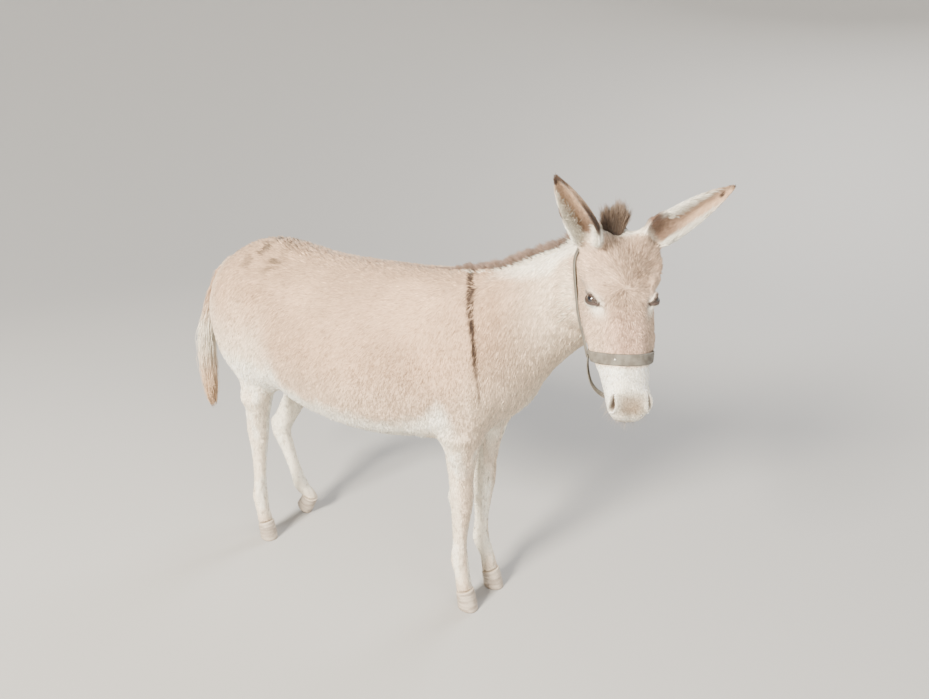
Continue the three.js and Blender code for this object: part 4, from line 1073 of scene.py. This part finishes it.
def strands(name, paths, width, colour, uv, look, nodes):
    """Closed three-sided hairs along paths of points (hair, point, xyz), tapering to a tip."""
    count, steps, _ = paths.shape
    ahead = unit(np.gradient(paths, axis=1))
    ref = unit(rng.normal(0, 1, (count, 1, 3)))
    b = unit(np.cross(ahead, ref))
    c = np.cross(ahead, b)
    t = np.linspace(0, 1, steps)[None, :, None]
    radius = width[:, None, None] / 2 * (1 - 0.75 * t ** 2)
    rings = []
    for k in range(3):
        angle = 2 * np.pi * k / 3
        rings.append(paths + (b * np.cos(angle) + c * np.sin(angle)) * radius)
    rings = np.stack(rings, axis=2)  # hair, step, corner, xyz
    body_points = rings[:, :-1].reshape(count, -1, 3)
    points = np.concatenate([body_points, paths[:, -1:]], axis=1)
    per = points.shape[1]
    faces = [[0, 2, 1]]
    for s in range(steps - 2):
        for k in range(3):
            i, j = s * 3 + k, s * 3 + (k + 1) % 3
            faces += [[i, j, j + 3], [i, j + 3, i + 3]]
    last = (steps - 2) * 3
    faces += [[last + k, last + (k + 1) % 3, per - 1] for k in range(3)]
    faces = (np.arange(count)[:, None, None] * per + np.array(faces)[None]).reshape(-1, 3)
    made = new_object(name, to_metres(points.reshape(-1, 3)), faces)
    tones = np.concatenate([np.repeat(colour[:, :-1], 3, axis=1), colour[:, -1:]], axis=1)
    paint(made, np.clip(tones, 0.004, 0.95).reshape(-1, 3))
    corner = np.tile([[-1, -1], [1, -1], [0, 1]], (steps, 1))[:per] * PATCH
    add_bake_map(made, (uv[:, None, :] + corner[None]).reshape(-1, 2))
    finish_piece(made, look, nodes)


def gradient(root, tip, steps, count, vary):
    """Each hair's colours from root to tip, brighter or darker hair by hair."""
    t = np.linspace(0, 1, steps)[None, :, None]
    colour = root[:, None, :] * (1 - t) + tip[:, None, :] * t
    return colour * rng.uniform(1 - vary, 1 + vary, (count, 1, 1))


tree = BVHTree.FromPolygons(to_metres(surface.p).tolist(), surface.tri.tolist())


def drop(start, way):
    """The skin's point and facing met from a point, going one way, in body millimetres."""
    hit, facing, _, _ = tree.ray_cast(Vector(to_metres(start)), Vector(way))
    if hit is None:
        return None, None
    return (np.array(hit) - SHIFT) * 1000, np.array(facing)


# The crest of the neck, from the withers to the poll: centre of the neck, and how far up the crest is.
CREST = np.array([(-30, 0, 832, 200), (70, 0, 884, 178), (165, 2, 935, 160), (250, 0, 990, 138),
                  (322, -10, 1046, 114), (382, -32, 1106, 88), (412, -58, 1150, 66)], float)
crest_t = np.linspace(0, 1, len(CREST))
MANE_HAIRS = 10000
t = rng.uniform(0.10, 1.0, MANE_HAIRS) ** 0.95
middle = np.stack([np.interp(t, crest_t, CREST[:, k]) for k in range(3)], axis=1)
tangent = unit(np.stack([np.gradient(np.interp(np.linspace(0, 1, 200), crest_t,
                                               CREST[:, k])) for k in range(3)], axis=1))
tangent = tangent[np.clip((t * 199).astype(int), 0, 199)]
sideways = unit(np.cross([[0, 0, 1.0]], tangent))
up = np.cross(tangent, sideways)
offset = rng.normal(0, 6.0, MANE_HAIRS)
paths, kept, pale = [], [], []
clump = (t * 90 + offset / 8).astype(int)
clump_tall = 0.70 + 0.36 * lattice(clump, 0 * clump, 0, 46)
clump_lean = lattice(clump, 0 * clump, 1, 47) - 0.5
for i in range(MANE_HAIRS):
    fringe = i % 4 == 0
    shift = offset[i] if not fringe else np.sign(offset[i]) * rng.uniform(10, 27)
    start = middle[i] + up[i] * 330 + sideways[i] * shift
    hit, facing = drop(start, -up[i])
    if hit is None:
        continue
    tall = sized(t[i], (0.08, 12), (0.2, 30), (0.5, 40), (1.0, 46)) * clump_tall[i] * rng.uniform(0.72, 1.08)
    if fringe:
        tall *= rng.uniform(0.25, 0.7)
    lean = up[i] - tangent[i] * (rng.normal(0.18, 0.10) + 0.45 * clump_lean[i] + 0.5
                                 * fringe) + sideways[i] * (rng.normal(0, 0.16) + shift * 0.008)
    lean /= np.linalg.norm(lean)
    bend = -tangent[i] * rng.uniform(0, 0.22) + sideways[i] * rng.normal(0, 0.12)
    s = np.linspace(0, 1, 4)[:, None]
    paths.append(hit - up[i] * 2 + lean * tall * s + bend * tall * s ** 2)
    kept.append(i)
    pale.append(fringe)
paths, kept, pale = np.array(paths), np.array(kept), np.array(pale)
lump = noise(paths[:, 0], (14, 14, 14), 41)[:, None]
MANE_ROOT, MANE_TIP = np.array([0.10, 0.062, 0.045]), np.array([0.26, 0.175, 0.13])
root_colour = np.where(pale[:, None], PALE * 0.9, MANE_ROOT * (0.7 + 0.7 * lump))
tip_colour = np.where(pale[:, None], WHITE, MANE_TIP * (0.7 + 0.6 * lump))
uv = inside_map(t[kept], 0.5 + offset[kept] / 60)
strands("mane_hair", paths, np.full(len(paths), 1.5), gradient(root_colour, tip_colour, 4, len(paths), 0.25),
        uv, LONG_LOOK, ["mane"])

FORELOCK_ROOT = np.array([-8.0, -10, -21])
FORELOCK_UP = unit(np.array([-0.72, 0, 0.69]))
FORELOCK_AHEAD = -np.cross([0, 1.0, 0], FORELOCK_UP)
FORELOCK_HEIGHT = 76
FORELOCK_HAIRS = 3800
u, d = rng.uniform(-1, 1, FORELOCK_HAIRS), rng.uniform(-1, 1, FORELOCK_HAIRS)
inside = u ** 2 + d ** 2 < 1
u, d = u[inside], d[inside]
count = len(u)
s = np.linspace(0, 1, 5)[None, :, None]
lock = np.stack([np.floor(u * 5), np.floor(d * 3.5)], axis=1).astype(int)
lock_height = lattice(lock[:, 0], lock[:, 1], 0, 61)
lock_lean = lattice(lock[:, 0], lock[:, 1], 1, 62) - 0.5
tall = FORELOCK_HEIGHT * (1.02 - 0.25 * u ** 2) * (0.55 + 0.45 * lock_height) * rng.uniform(0.5, 1.03, count)
side_way = np.array([0, 1.0, 0])
base = FORELOCK_ROOT + side_way * (22 * u)[:, None] + FORELOCK_AHEAD * (20 * d)[:, None] - FORELOCK_UP * 14
lock_middle = (lock + 0.5) / (5, 3.5)
gather = side_way * (18 * (lock_middle[:, 0] - u))[:, None]
gather = gather + FORELOCK_AHEAD * (12 * (lock_middle[:, 1] - d))[:, None]
flare = side_way * (11 * u + 16 * lock_lean + rng.normal(0, 3, count))[:, None]
flare = flare + FORELOCK_AHEAD * (rng.normal(-2, 4, count) + 3 * d)[:, None]
paths = base[:, None] + FORELOCK_UP * (tall + 14)[:, None, None] * s
paths = paths + flare[:, None] * s ** 1.5 + gather[:, None] * 0.7 * s
paths = from_head(paths)
lump = (0.5 * lock_height + 0.5 * noise(paths[:, 0], (9, 9, 9), 42))[:, None]
fore_root = np.array([0.085, 0.06, 0.045]) * (0.6 + 0.8 * lump)
fore_tip = np.array([0.20, 0.14, 0.10]) * (0.4 + 0.9 * lump)
fore_root = over(fore_root, FACE_GREY * 0.7, 0.8 * smooth(0.45, 0.9, d))
strands("forelock_hair", paths, np.full(count, 1.3), gradient(fore_root, fore_tip, 5, count, 0.3),
        inside_map(0.5 + u * 0.45, 0.5 + d * 0.45), LONG_LOOK, ["forelock"])

# The tail's hair starts all down the dock and hangs round the line of the tail.
TAIL_RADIUS = np.array([(415, 6), (450, 17), (500, 24), (590, 30), (680, 31), (760, 26), (860, 23),
                        (985, 25)], float)
TAIL_HAIRS = 7800
z0 = 470 + 500 * rng.random(TAIL_HAIRS) ** 0.85
angle = rng.uniform(0, 2 * np.pi, TAIL_HAIRS)
fall = sized(z0, (470, 60), (620, 170), (760, 120), (970, 45)) * rng.uniform(0.7, 1.1, TAIL_HAIRS)
wisp = (angle * 2.4).astype(int)
lowest = 412 + 70 * lattice(wisp, 0 * wisp, 0, 71) ** 1.5 + 45 * rng.random(TAIL_HAIRS) ** 2
end = np.maximum(z0 - fall, lowest)
out_share = rng.uniform(0.45, 1.0, TAIL_HAIRS) * (1 + 0.3 * (rng.random(TAIL_HAIRS) < 0.04))
steps = 5
z = z0[:, None] + (end - z0)[:, None] * np.linspace(0, 1, steps)
line = tail_centre(z.ravel()).reshape(TAIL_HAIRS, steps, 3)
reach = np.interp(z, TAIL_RADIUS[:, 0], TAIL_RADIUS[:, 1])
start_reach = reach * mix(0.25, 0.6, smooth(560, 760, z))
spread_out = np.clip(np.linspace(0, 1, steps) * 2.2, 0, 1)[None]
r = start_reach + (reach * out_share[:, None] - start_reach) * spread_out
wander = angle[:, None] + rng.normal(0, 0.25, (TAIL_HAIRS, 1)) * np.linspace(0, 1, steps)
slope = np.stack([np.cos(wander) * r, np.sin(wander) * r, np.zeros_like(r)], axis=-1)
paths = line + slope
root_colour = over(plain(PALE * 0.92, TAIL_HAIRS), TAN * 1.3, 0.8 * smooth(720, 520, z0))
root_colour = over(root_colour, GREY * 1.15, smooth(790, 880, z0))
tip_colour = over(plain(WHITE * 0.98, TAIL_HAIRS), TAN * 1.35,
                  0.9 * smooth(640, 470, end))
tip_colour = over(tip_colour, GREY * 1.3, smooth(780, 860, z0))
uv = inside_map(angle / 2 / np.pi, (z0 - 400) / 600)
tones = gradient(root_colour, tip_colour, steps, TAIL_HAIRS, 0.2)
strands("tail_hair", paths, np.full(TAIL_HAIRS, 1.7), tones, uv, LONG_LOOK, None)

# Fringes: inside the ears, on the lips and chin, and the lashes.
fringe_paths, fringe_width, fringe_root, fringe_tip = [], [], [], []


def add_fringe(p, way, length, width, colour, droop):
    count = len(p)
    s = np.linspace(0, 1, 4)[None, :, None]
    path = p[:, None] + way[:, None] * length[:, None, None] * s
    path = path + np.asarray(droop)[None, None] * length[:, None, None] * s ** 2
    fringe_paths.append(path)
    fringe_width.append(np.full(count, width))
    fringe_root.append(np.repeat(np.asarray(colour)[None], count, axis=0) * 0.9)
    fringe_tip.append(np.repeat(np.asarray(colour)[None], count, axis=0))


for side in EARS:
    e = to_ear(where_h, side)
    t_ear = e[:, 2] / EAR_LENGTH
    mine = is_ear & (np.hypot(e[:, 0], e[:, 1]) < 80) & (e[:, 2] < 280)
    facing_open = (surface.facing @ HEAD_AXES) @ EARS[side][1]
    edge = mine & (facing_open[:, 0] > -0.2) & (t_ear > 0.08) & (t_ear < 0.86) & (np.abs(e[:, 1]) > 19)
    if side == "right":
        edge &= (e[:, 1] < 8) | (t_ear < 0.25)
    else:
        edge &= (e[:, 1] > -12) | (t_ear > 0.32)
    p, n = surface.scatter(EAR_FRINGE, edge * (0.3 + smooth(14, 30, np.abs(e[:, 1]))))
    q = to_ear(to_head(p), side)
    tipward = head_way(EARS[side][1][:, 2])
    inward = head_way(EARS[side][1][:, 1])[None] * -np.sign(q[:, 1])[:, None]
    opened = head_way(EARS[side][1][:, 0])[None]
    way = unit(tipward[None] * 0.75 + inward * 0.5 + opened * 0.22 + rng.normal(0, 0.10, (EAR_FRINGE, 3)))
    add_fringe(p - n * 0.5, way, rng.uniform(12, 24, EAR_FRINGE), 0.75, WHITE * 0.98, (0, 0, -0.08))
chin = is_head & (where_h[:, 0] > 350) & (where_h[:, 2] < -84) & covered
p, n = surface.scatter(CHIN_HAIRS, chin)
chin_way = unit(n + rng.normal(0, 0.3, (CHIN_HAIRS, 3)) + [0, 0, -0.3])
add_fringe(p - n * 0.5, chin_way, rng.uniform(8, 24, CHIN_HAIRS), 0.42,
           np.array([0.34, 0.28, 0.23]), (0, 0, -0.25))
for side in (-1, 1):
    centre, way_out, along, above = eye_frame(side)
    a = np.linspace(OPENING[0] + 3, OPENING[1] - 8, LASHES) + rng.normal(0, 0.6, LASHES)
    t_lid = (a - OPENING[0]) / (OPENING[1] - OPENING[0])
    arch = OPENING_HEIGHT * np.sin(np.pi * t_lid ** 0.9) ** 0.75 + 1.0
    on_ball = np.sqrt(np.maximum((EYE_RADIUS + 1.6) ** 2 - a ** 2 - arch ** 2, 1))
    p = centre + np.outer(a, along) + np.outer(arch, above) + np.outer(on_ball, way_out)
    lash = unit(np.outer(np.ones(LASHES), way_out * 0.8 + above * 0.7) + np.outer(a * 0.02, along)
                + rng.normal(0, 0.1, (LASHES, 3)))
    add_fringe(from_head(p), np.array([head_way(v) for v in lash]), rng.uniform(4, 6.5, LASHES), 0.4, BROWN,
               (0, 0, -0.7))
paths = np.concatenate(fringe_paths)
widths = np.concatenate(fringe_width)
fringe_h = to_head(paths[:, 0])
uv = inside_map((fringe_h[:, 0] + 230) / 700, (fringe_h[:, 1] + 260) / 520)
t = np.linspace(0, 1, 4)[None, :, None]
tones = np.concatenate(fringe_root)[:, None] * (1 - t) + np.concatenate(fringe_tip)[:, None] * t
strands("fine_hair", paths, widths, tones * rng.uniform(0.85, 1.1, (len(paths), 1, 1)), uv, LONG_LOOK, None)

# ---- The halter's straps, laid over the skin and its coat ------------------------------------------
STRAP_CLEAR = 3.4  # over the skin, through the hair
STRAP_THICKNESS = 2.6
NOSEBAND_WIDTH, HEADSTALL_WIDTH, CHIN_STRAP_WIDTH = 26, 18, 13
RIVET_RADIUS, RIVET_HEIGHT = 3.4, 1.7


WEBBING = grained(material("webbing", (0.3, 0.27, 0.24), 0.85), 900.0, 2.0, 0.55, 1.4, 0.0008, 0.6)


def reach_out(origin, out, far=170):
    """How far out from an origin in the head's frame the skin lies, going one way."""
    start = from_head(origin + out * far)
    hit, _ = drop(start, -head_way(out))
    if hit is None:
        return 0.0
    return float((to_head(hit) - origin) @ out)


def taut(reach, rounds, closed):
    """A strap under tension bridges hollows: it never lies lower than between its neighbours."""
    reach = np.array(reach)
    for _ in range(rounds):
        before, after = np.roll(reach, 1), np.roll(reach, -1)
        if not closed:
            before[0], after[-1] = reach[0], reach[-1]
        reach = np.maximum(reach, (before + after) / 2)
    return reach


def strap(name, centre, out, across, width, closed, node_name):
    """Webbing along a line of centres: ridges along its face, rolled edges, a flat back."""
    RIBS = 11
    e = np.linspace(-0.5, 0.5, RIBS)
    ridge = STRAP_THICKNESS * (0.78 + 0.22 * np.cos(e * 2 * np.pi * 5)) * (1 - (2 * np.abs(e)) ** 6 * 0.7)
    section = [(a, h) for a, h in zip(e, ridge)] + [(a, 0.0) for a in np.linspace(0.48, -0.48, 5)]
    rows = [centre + across * (a * width) + out * h for a, h in section]
    sides, count = len(section), len(centre)
    points = np.stack(rows, axis=1).reshape(-1, 3)
    r = np.arange(count if closed else count - 1)[:, None]
    i = np.arange(sides)[None]
    r2, i2 = (r + 1) % count, (i + 1) % sides
    quads = np.stack([r * sides + i, r * sides + i2, r2 * sides + i2, r2 * sides + i], axis=-1).reshape(-1, 4)
    faces = [tuple(q) for q in quads]
    if not closed:
        faces += [tuple(range(sides))[::-1], tuple(range((count - 1) * sides, count * sides))]
    made = new_object(name, to_metres(from_head(points)), faces)
    select_only(made)
    bpy.ops.object.mode_set(mode="EDIT")
    bpy.ops.mesh.select_all(action="SELECT")
    bpy.ops.mesh.normals_make_consistent(inside=False)
    bpy.ops.object.mode_set(mode="OBJECT")
    grime = noise(points, (9, 9, 9), 71)
    tone = over(np.repeat([[0.15, 0.135, 0.11]], len(points), axis=0), np.array([0.09, 0.075, 0.06]),
                0.8 * smooth(0.35, 0.75, grime))
    # painted highlight: lighter flecks along both edges of the webbing
    edge = np.tile(np.array([abs(a) for a, _ in section]), count)
    tone = over(tone, np.array([0.21, 0.19, 0.155]),
                0.6 * smooth(0.38, 0.5, edge) * noise(points, (4, 4, 4), 72))
    paint(made, tone)
    finish_piece(made, WEBBING, [node_name])


# Noseband: a closed loop in a sloping plane.
low = unit(np.array([NOSEBAND_SLOPE, 0, 1]))
band_across = np.cross([0, 1.0, 0], low)
band_centre = np.array([noseband_x(-66), 0, -66])
band_angle = np.linspace(0, 2 * np.pi, 96, endpoint=False)
band_out = np.outer(np.cos(band_angle), [0, 1.0, 0]) + np.outer(np.sin(band_angle), low)
edges_reach = []
for e in (-13.0, 0.0, 13.0):
    edges_reach.append(taut([reach_out(band_centre + band_across * e, o) for o in band_out], 60, True)
                       + STRAP_CLEAR)
# The band lies along the slope of the nose, so each stop leans with the skin under it.
band_lean = 0.45 * (edges_reach[2] - edges_reach[0]) / 26
across_here = unit(band_across + band_out * band_lean[:, None])
middle = band_centre + band_out * (np.maximum(edges_reach[0], edges_reach[2]) - 13 * np.abs(band_lean))[:,
                                                                                                        None]
outward = unit(np.cross(across_here, unit(np.roll(middle, -1, axis=0) - np.roll(middle, 1, axis=0))))
outward *= np.sign((outward * band_out).sum(axis=1))[:, None]
band_middle, outward_band = middle, outward
strap("noseband", middle, outward, across_here, NOSEBAND_WIDTH, True, "halter_noseband")

# Cheek straps and crown: from the noseband up each cheek and over the neck behind the ears.
CROWN_KEYS = np.array([(noseband_x(-104) + 2, -104, 0), (215, -113, 0), (150, -118, 0), (90, -122, 2),
                       (38, -117, 10), (2, -104, 24), (-12, -94, 48), (-16, -90, 90)], float)


def smooth_keys(keys, t):
    """Runs smoothly through evenly spaced keys."""
    slope = np.gradient(keys, axis=0)
    place = np.clip(t, 0, 1) * (len(keys) - 1)
    k = np.clip(place.astype(int), 0, len(keys) - 2)
    f = (place - k)[:, None]
    return ((2 * f ** 3 - 3 * f ** 2 + 1) * keys[k] + (f ** 3 - 2 * f ** 2 + f) * slope[k]
            + (3 * f ** 2 - 2 * f ** 3) * keys[k + 1] + (f ** 3 - f ** 2) * slope[k + 1])


crown = unit(np.array([-0.46, 0, 0.89]))
half_t = np.linspace(0, 1, 44)
half_keys = smooth_keys(CROWN_KEYS, half_t)
origins, outs = [], []
for side in (-1, 1):
    degrees = np.radians(half_keys[:, 2])
    out = np.outer(np.cos(degrees), [0, float(side), 0]) + np.outer(np.sin(degrees), crown)
    origin = np.stack([half_keys[:, 0], np.zeros(len(half_keys)), half_keys[:, 1]], axis=1)
    origins.append(origin if side == -1 else origin[::-1][1:])
    outs.append(out if side == -1 else out[::-1][1:])
origins, outs = np.concatenate(origins), np.concatenate(outs)
reach = np.array([reach_out(o, w) for o, w in zip(origins, outs)])
touch = origins + outs * taut(reach, 25, False)[:, None]
along = unit(np.gradient(touch, axis=0))
across = unit(np.cross(along, outs))
wide_reach = [np.array([reach_out(o + a * e, w) for o, a, w in zip(origins, across, outs)]) for e in (-8.0,
                                                                                                      8.0)]
reach = taut(np.maximum(reach, np.maximum(*wide_reach) - 1.0), 25, False)
over_band = STRAP_THICKNESS * 1.6 * smooth(noseband_x(-104) - 45, noseband_x(-104) - 20, origins[:, 0])
centre = origins + outs * (reach + STRAP_CLEAR + over_band)[:, None]
nearest = np.argmin(np.linalg.norm(centre[:, None] - band_middle[None], axis=2), axis=1)
on_band = band_middle[nearest] + outward_band[nearest] * STRAP_THICKNESS * 1.4
near_band = 0.9 * smooth(noseband_x(-104) - 55, noseband_x(-104) - 8, origins[:, 0])
centre = mix(centre, on_band, near_band[:, None])
centre = relax(centre, np.stack([np.arange(len(centre) - 1), np.arange(1, len(centre))], axis=1),
               0.4 * np.ones(len(centre)), 2)
along = unit(np.gradient(centre, axis=0))
across = unit(np.cross(along, outs))
strap("headstall", centre, unit(np.cross(across, along)), across, HEADSTALL_WIDTH, False, "halter_headstall")

# Chin strap: hangs under the jaw from the noseband's sides.
at_chin = np.argmin(np.linalg.norm(band_middle - [noseband_x(-112), 70, -112], axis=1))
CHIN_SIDE = abs(band_middle[at_chin][1]) + 2.5
CHIN_KEYS = np.array([(noseband_x(-112), CHIN_SIDE, -112), (302, CHIN_SIDE - 1, -128), (332, 62, -137),
                      (352, 48, -143), (364, 27, -148), (368, 0, -150)], float)
half = smooth_keys(CHIN_KEYS, np.linspace(0, 1, 32))
centre = np.concatenate([half * [1, -1, 1], half[::-1][1:]])
along = unit(np.gradient(centre, axis=0))
across = unit(np.cross(along, centre * [0, 1, 1] + [0, 0, 80]))
outward = np.cross(across, along)
strap("chin_strap", centre, outward, across, CHIN_STRAP_WIDTH, False, "halter_chin_strap")

# The rivet on the noseband.
rivet_at = np.array([316.5, -39.6, -15.6])
nearest = np.argmin(np.linalg.norm(band_middle - rivet_at, axis=1))
rivet_at, rivet_out = band_middle[nearest] + outward_band[nearest] * STRAP_THICKNESS, outward_band[nearest]
RIVET_ROWS, RIVET_SIDES = 9, 28
polar = np.linspace(0.05, np.pi - 0.05, RIVET_ROWS)[:, None]
spin = (np.arange(RIVET_SIDES) / RIVET_SIDES * 2 * np.pi)[None]
r1 = unit(np.cross(rivet_out, [1.0, 0, 0]))
r2 = np.cross(rivet_out, r1)
dome = (rivet_at + RIVET_RADIUS * (np.sin(polar) * np.cos(spin))[..., None] * r1
        + RIVET_RADIUS * (np.sin(polar) * np.sin(spin))[..., None] * r2
        + RIVET_HEIGHT * (np.cos(polar) + 0 * spin)[..., None] * rivet_out).reshape(-1, 3)
faces = capped(RIVET_ROWS, RIVET_SIDES)
rivet = new_object("noseband_rivet", to_metres(from_head(dome)), faces)
rivet.data.materials.append(material("dull_metal", (0.45, 0.42, 0.38), 0.35, Metallic=0.9))
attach(rivet, "root")

# ---- Hooves ----------------------------------------------------------------------------------------
HOOF = {"length": 70, "width": 56, "top_length": 58, "top_width": 54, "height": 58, "slope": 0.36, "lean": 12}
HOOF_PLACES = {"fore_right": ((28, -66, 0), 0, -8), "fore_left": ((46, 66, 0), 0, 6),
               "hind_right": ((-766, -102, 0), 0, -16), "hind_left": ((-772, 88, 20), 42, 8)}


HORN = grained(material("horn", (0.42, 0.35, 0.28), 0.5), 320.0, 4.0, 0.65, 1.3, 0.001, 0.35)
HORN_TONE, HORN_DARK = np.array([0.46, 0.385, 0.31]), np.array([0.21, 0.165, 0.13])
for word, (at, tip, yaw) in HOOF_PLACES.items():
    SIDES, ROWS = 72, 34
    t = np.linspace(0, 1, ROWS)[:, None]
    around = (np.arange(SIDES) / SIDES * 2 * np.pi)[None]
    c, s = np.cos(around), np.sin(around)
    groove = 0.45 * np.sin(t * 44 + 0.8 * c) + 0.35 * np.sin(t * 19 + 2)
    groove = groove - 1.4 * smooth(0.94, 1.0, t) - 1.5 * smooth(0.06, 0.0, t)
    cleft = -5 * np.exp(-((np.abs(around - np.pi)) / 0.22) ** 2) * smooth(0.9, 0.5, t)
    half_length = mix(HOOF["length"], HOOF["top_length"], t) / 2 - 0.6 + groove + cleft
    x = half_length * c * np.where(c < 0, 0.86, 1) - HOOF["lean"] * t
    y = (mix(HOOF["width"], HOOF["top_width"], t) / 2 - 0.6 + groove) * np.sign(s) * np.abs(s) ** 0.9
    z = t * (HOOF["height"] + HOOF["slope"] * (x + HOOF["lean"]))
    p = np.stack([x, y, z + 0 * x], axis=-1).reshape(-1, 3)
    place = turn("Z", np.radians(yaw)) @ turn("Y", np.radians(tip))
    p = p @ place.T + np.array(at)
    p[:, 2] = np.maximum(p[:, 2], 0)
    faces = capped(ROWS, SIDES)
    hoof = new_object("horn_" + word, to_metres(p), faces)
    hoof.data.polygons.foreach_set("use_smooth", [len(f.vertices) < 5 for f in hoof.data.polygons])
    shade = plain(HORN_TONE, len(p))
    tt = np.repeat(t[:, 0], SIDES)
    shade = over(shade, HORN_DARK, 0.6
                 * smooth(0.35, 0.7, noise(np.stack([tt * 60, p[:, 0] * 0.2, p[:, 1] * 0.2], axis=1), 6, 51)))
    shade = over(shade, HORN_DARK, 0.7 * smooth(0.12, 0.0, tt))
    shade = over(shade, PALE, 0.5 * smooth(0.93, 1.0, tt))
    paint(hoof, shade)
    finish_piece(hoof, HORN, ["hoof_" + word])

# ---- Camera, floor and light -----------------------------------------------------------------------
CAMERA_AT = (1.1222, -1.5758, 1.4590)
CAMERA_TO = (0.2008, 0.0082, 0.8070)
LENS = 27.05
camera = bpy.data.objects.new("camera", bpy.data.cameras.new("camera"))
camera.data.lens = LENS
camera.data.sensor_width = 36
camera.location = CAMERA_AT
look = Vector(CAMERA_TO) - Vector(CAMERA_AT)
camera.rotation_euler = look.to_track_quat("-Z", "Y").to_euler()
bpy.context.scene.collection.objects.link(camera)
bpy.context.scene.camera = camera


def area_light(name, at, size, power, colour, target=(-0.1, 0, 0.7)):
    light = bpy.data.lights.new(name, "AREA")
    light.shape = "DISK"
    light.size = size
    light.energy = power
    light.color = colour
    made = bpy.data.objects.new(name, light)
    made.location = at
    made.rotation_euler = (Vector(target) - Vector(at)).to_track_quat("-Z", "Y").to_euler()
    bpy.context.scene.collection.objects.link(made)


area_light("key", (-0.9, -6.2, 4.1), 2.0, 2150, (1, 0.93, 0.80))
area_light("fill", (6.6, -3.4, 2.6), 4.5, 420, (1, 0.97, 0.92))
area_light("rim", (1.0, 7.0, 5.6), 4.0, 650, (1, 1, 1))
world = bpy.data.worlds.new("studio")
world.use_nodes = True
world.node_tree.nodes["Background"].inputs["Color"].default_value = (0.9, 0.93, 1, 1)
world.node_tree.nodes["Background"].inputs["Strength"].default_value = 0.65
bpy.context.scene.world = world
# A seamless sweep: flat out to FLAT, then curving up into a low wall all round.
FLAT, CURVE, WALL_TOP = 4.5, 6.0, 8.0
SPOKES = 128
bend = np.linspace(0, np.pi / 2, 14)
profile = [(0.01, 0.0), (FLAT / 2, 0.0)] + [(FLAT + CURVE * np.sin(b), CURVE * (1 - np.cos(b))) for b in bend]
profile = np.array(profile + [(FLAT + CURVE, WALL_TOP)])
spin = np.arange(SPOKES) / SPOKES * 2 * np.pi
sweep = np.stack([np.outer(profile[:, 0], np.cos(spin)), np.outer(profile[:, 0], np.sin(spin)),
                  np.outer(profile[:, 1], np.ones(SPOKES))], axis=-1).reshape(-1, 3)
floor_faces = [tuple(f) for f in rings_to_faces(len(profile), SPOKES)] + [tuple(range(SPOKES - 1, -1, -1))]
floor = new_object("floor", sweep, floor_faces)
floor.data.materials.append(material("pale_floor", (0.42, 0.41, 0.395), 0.9))
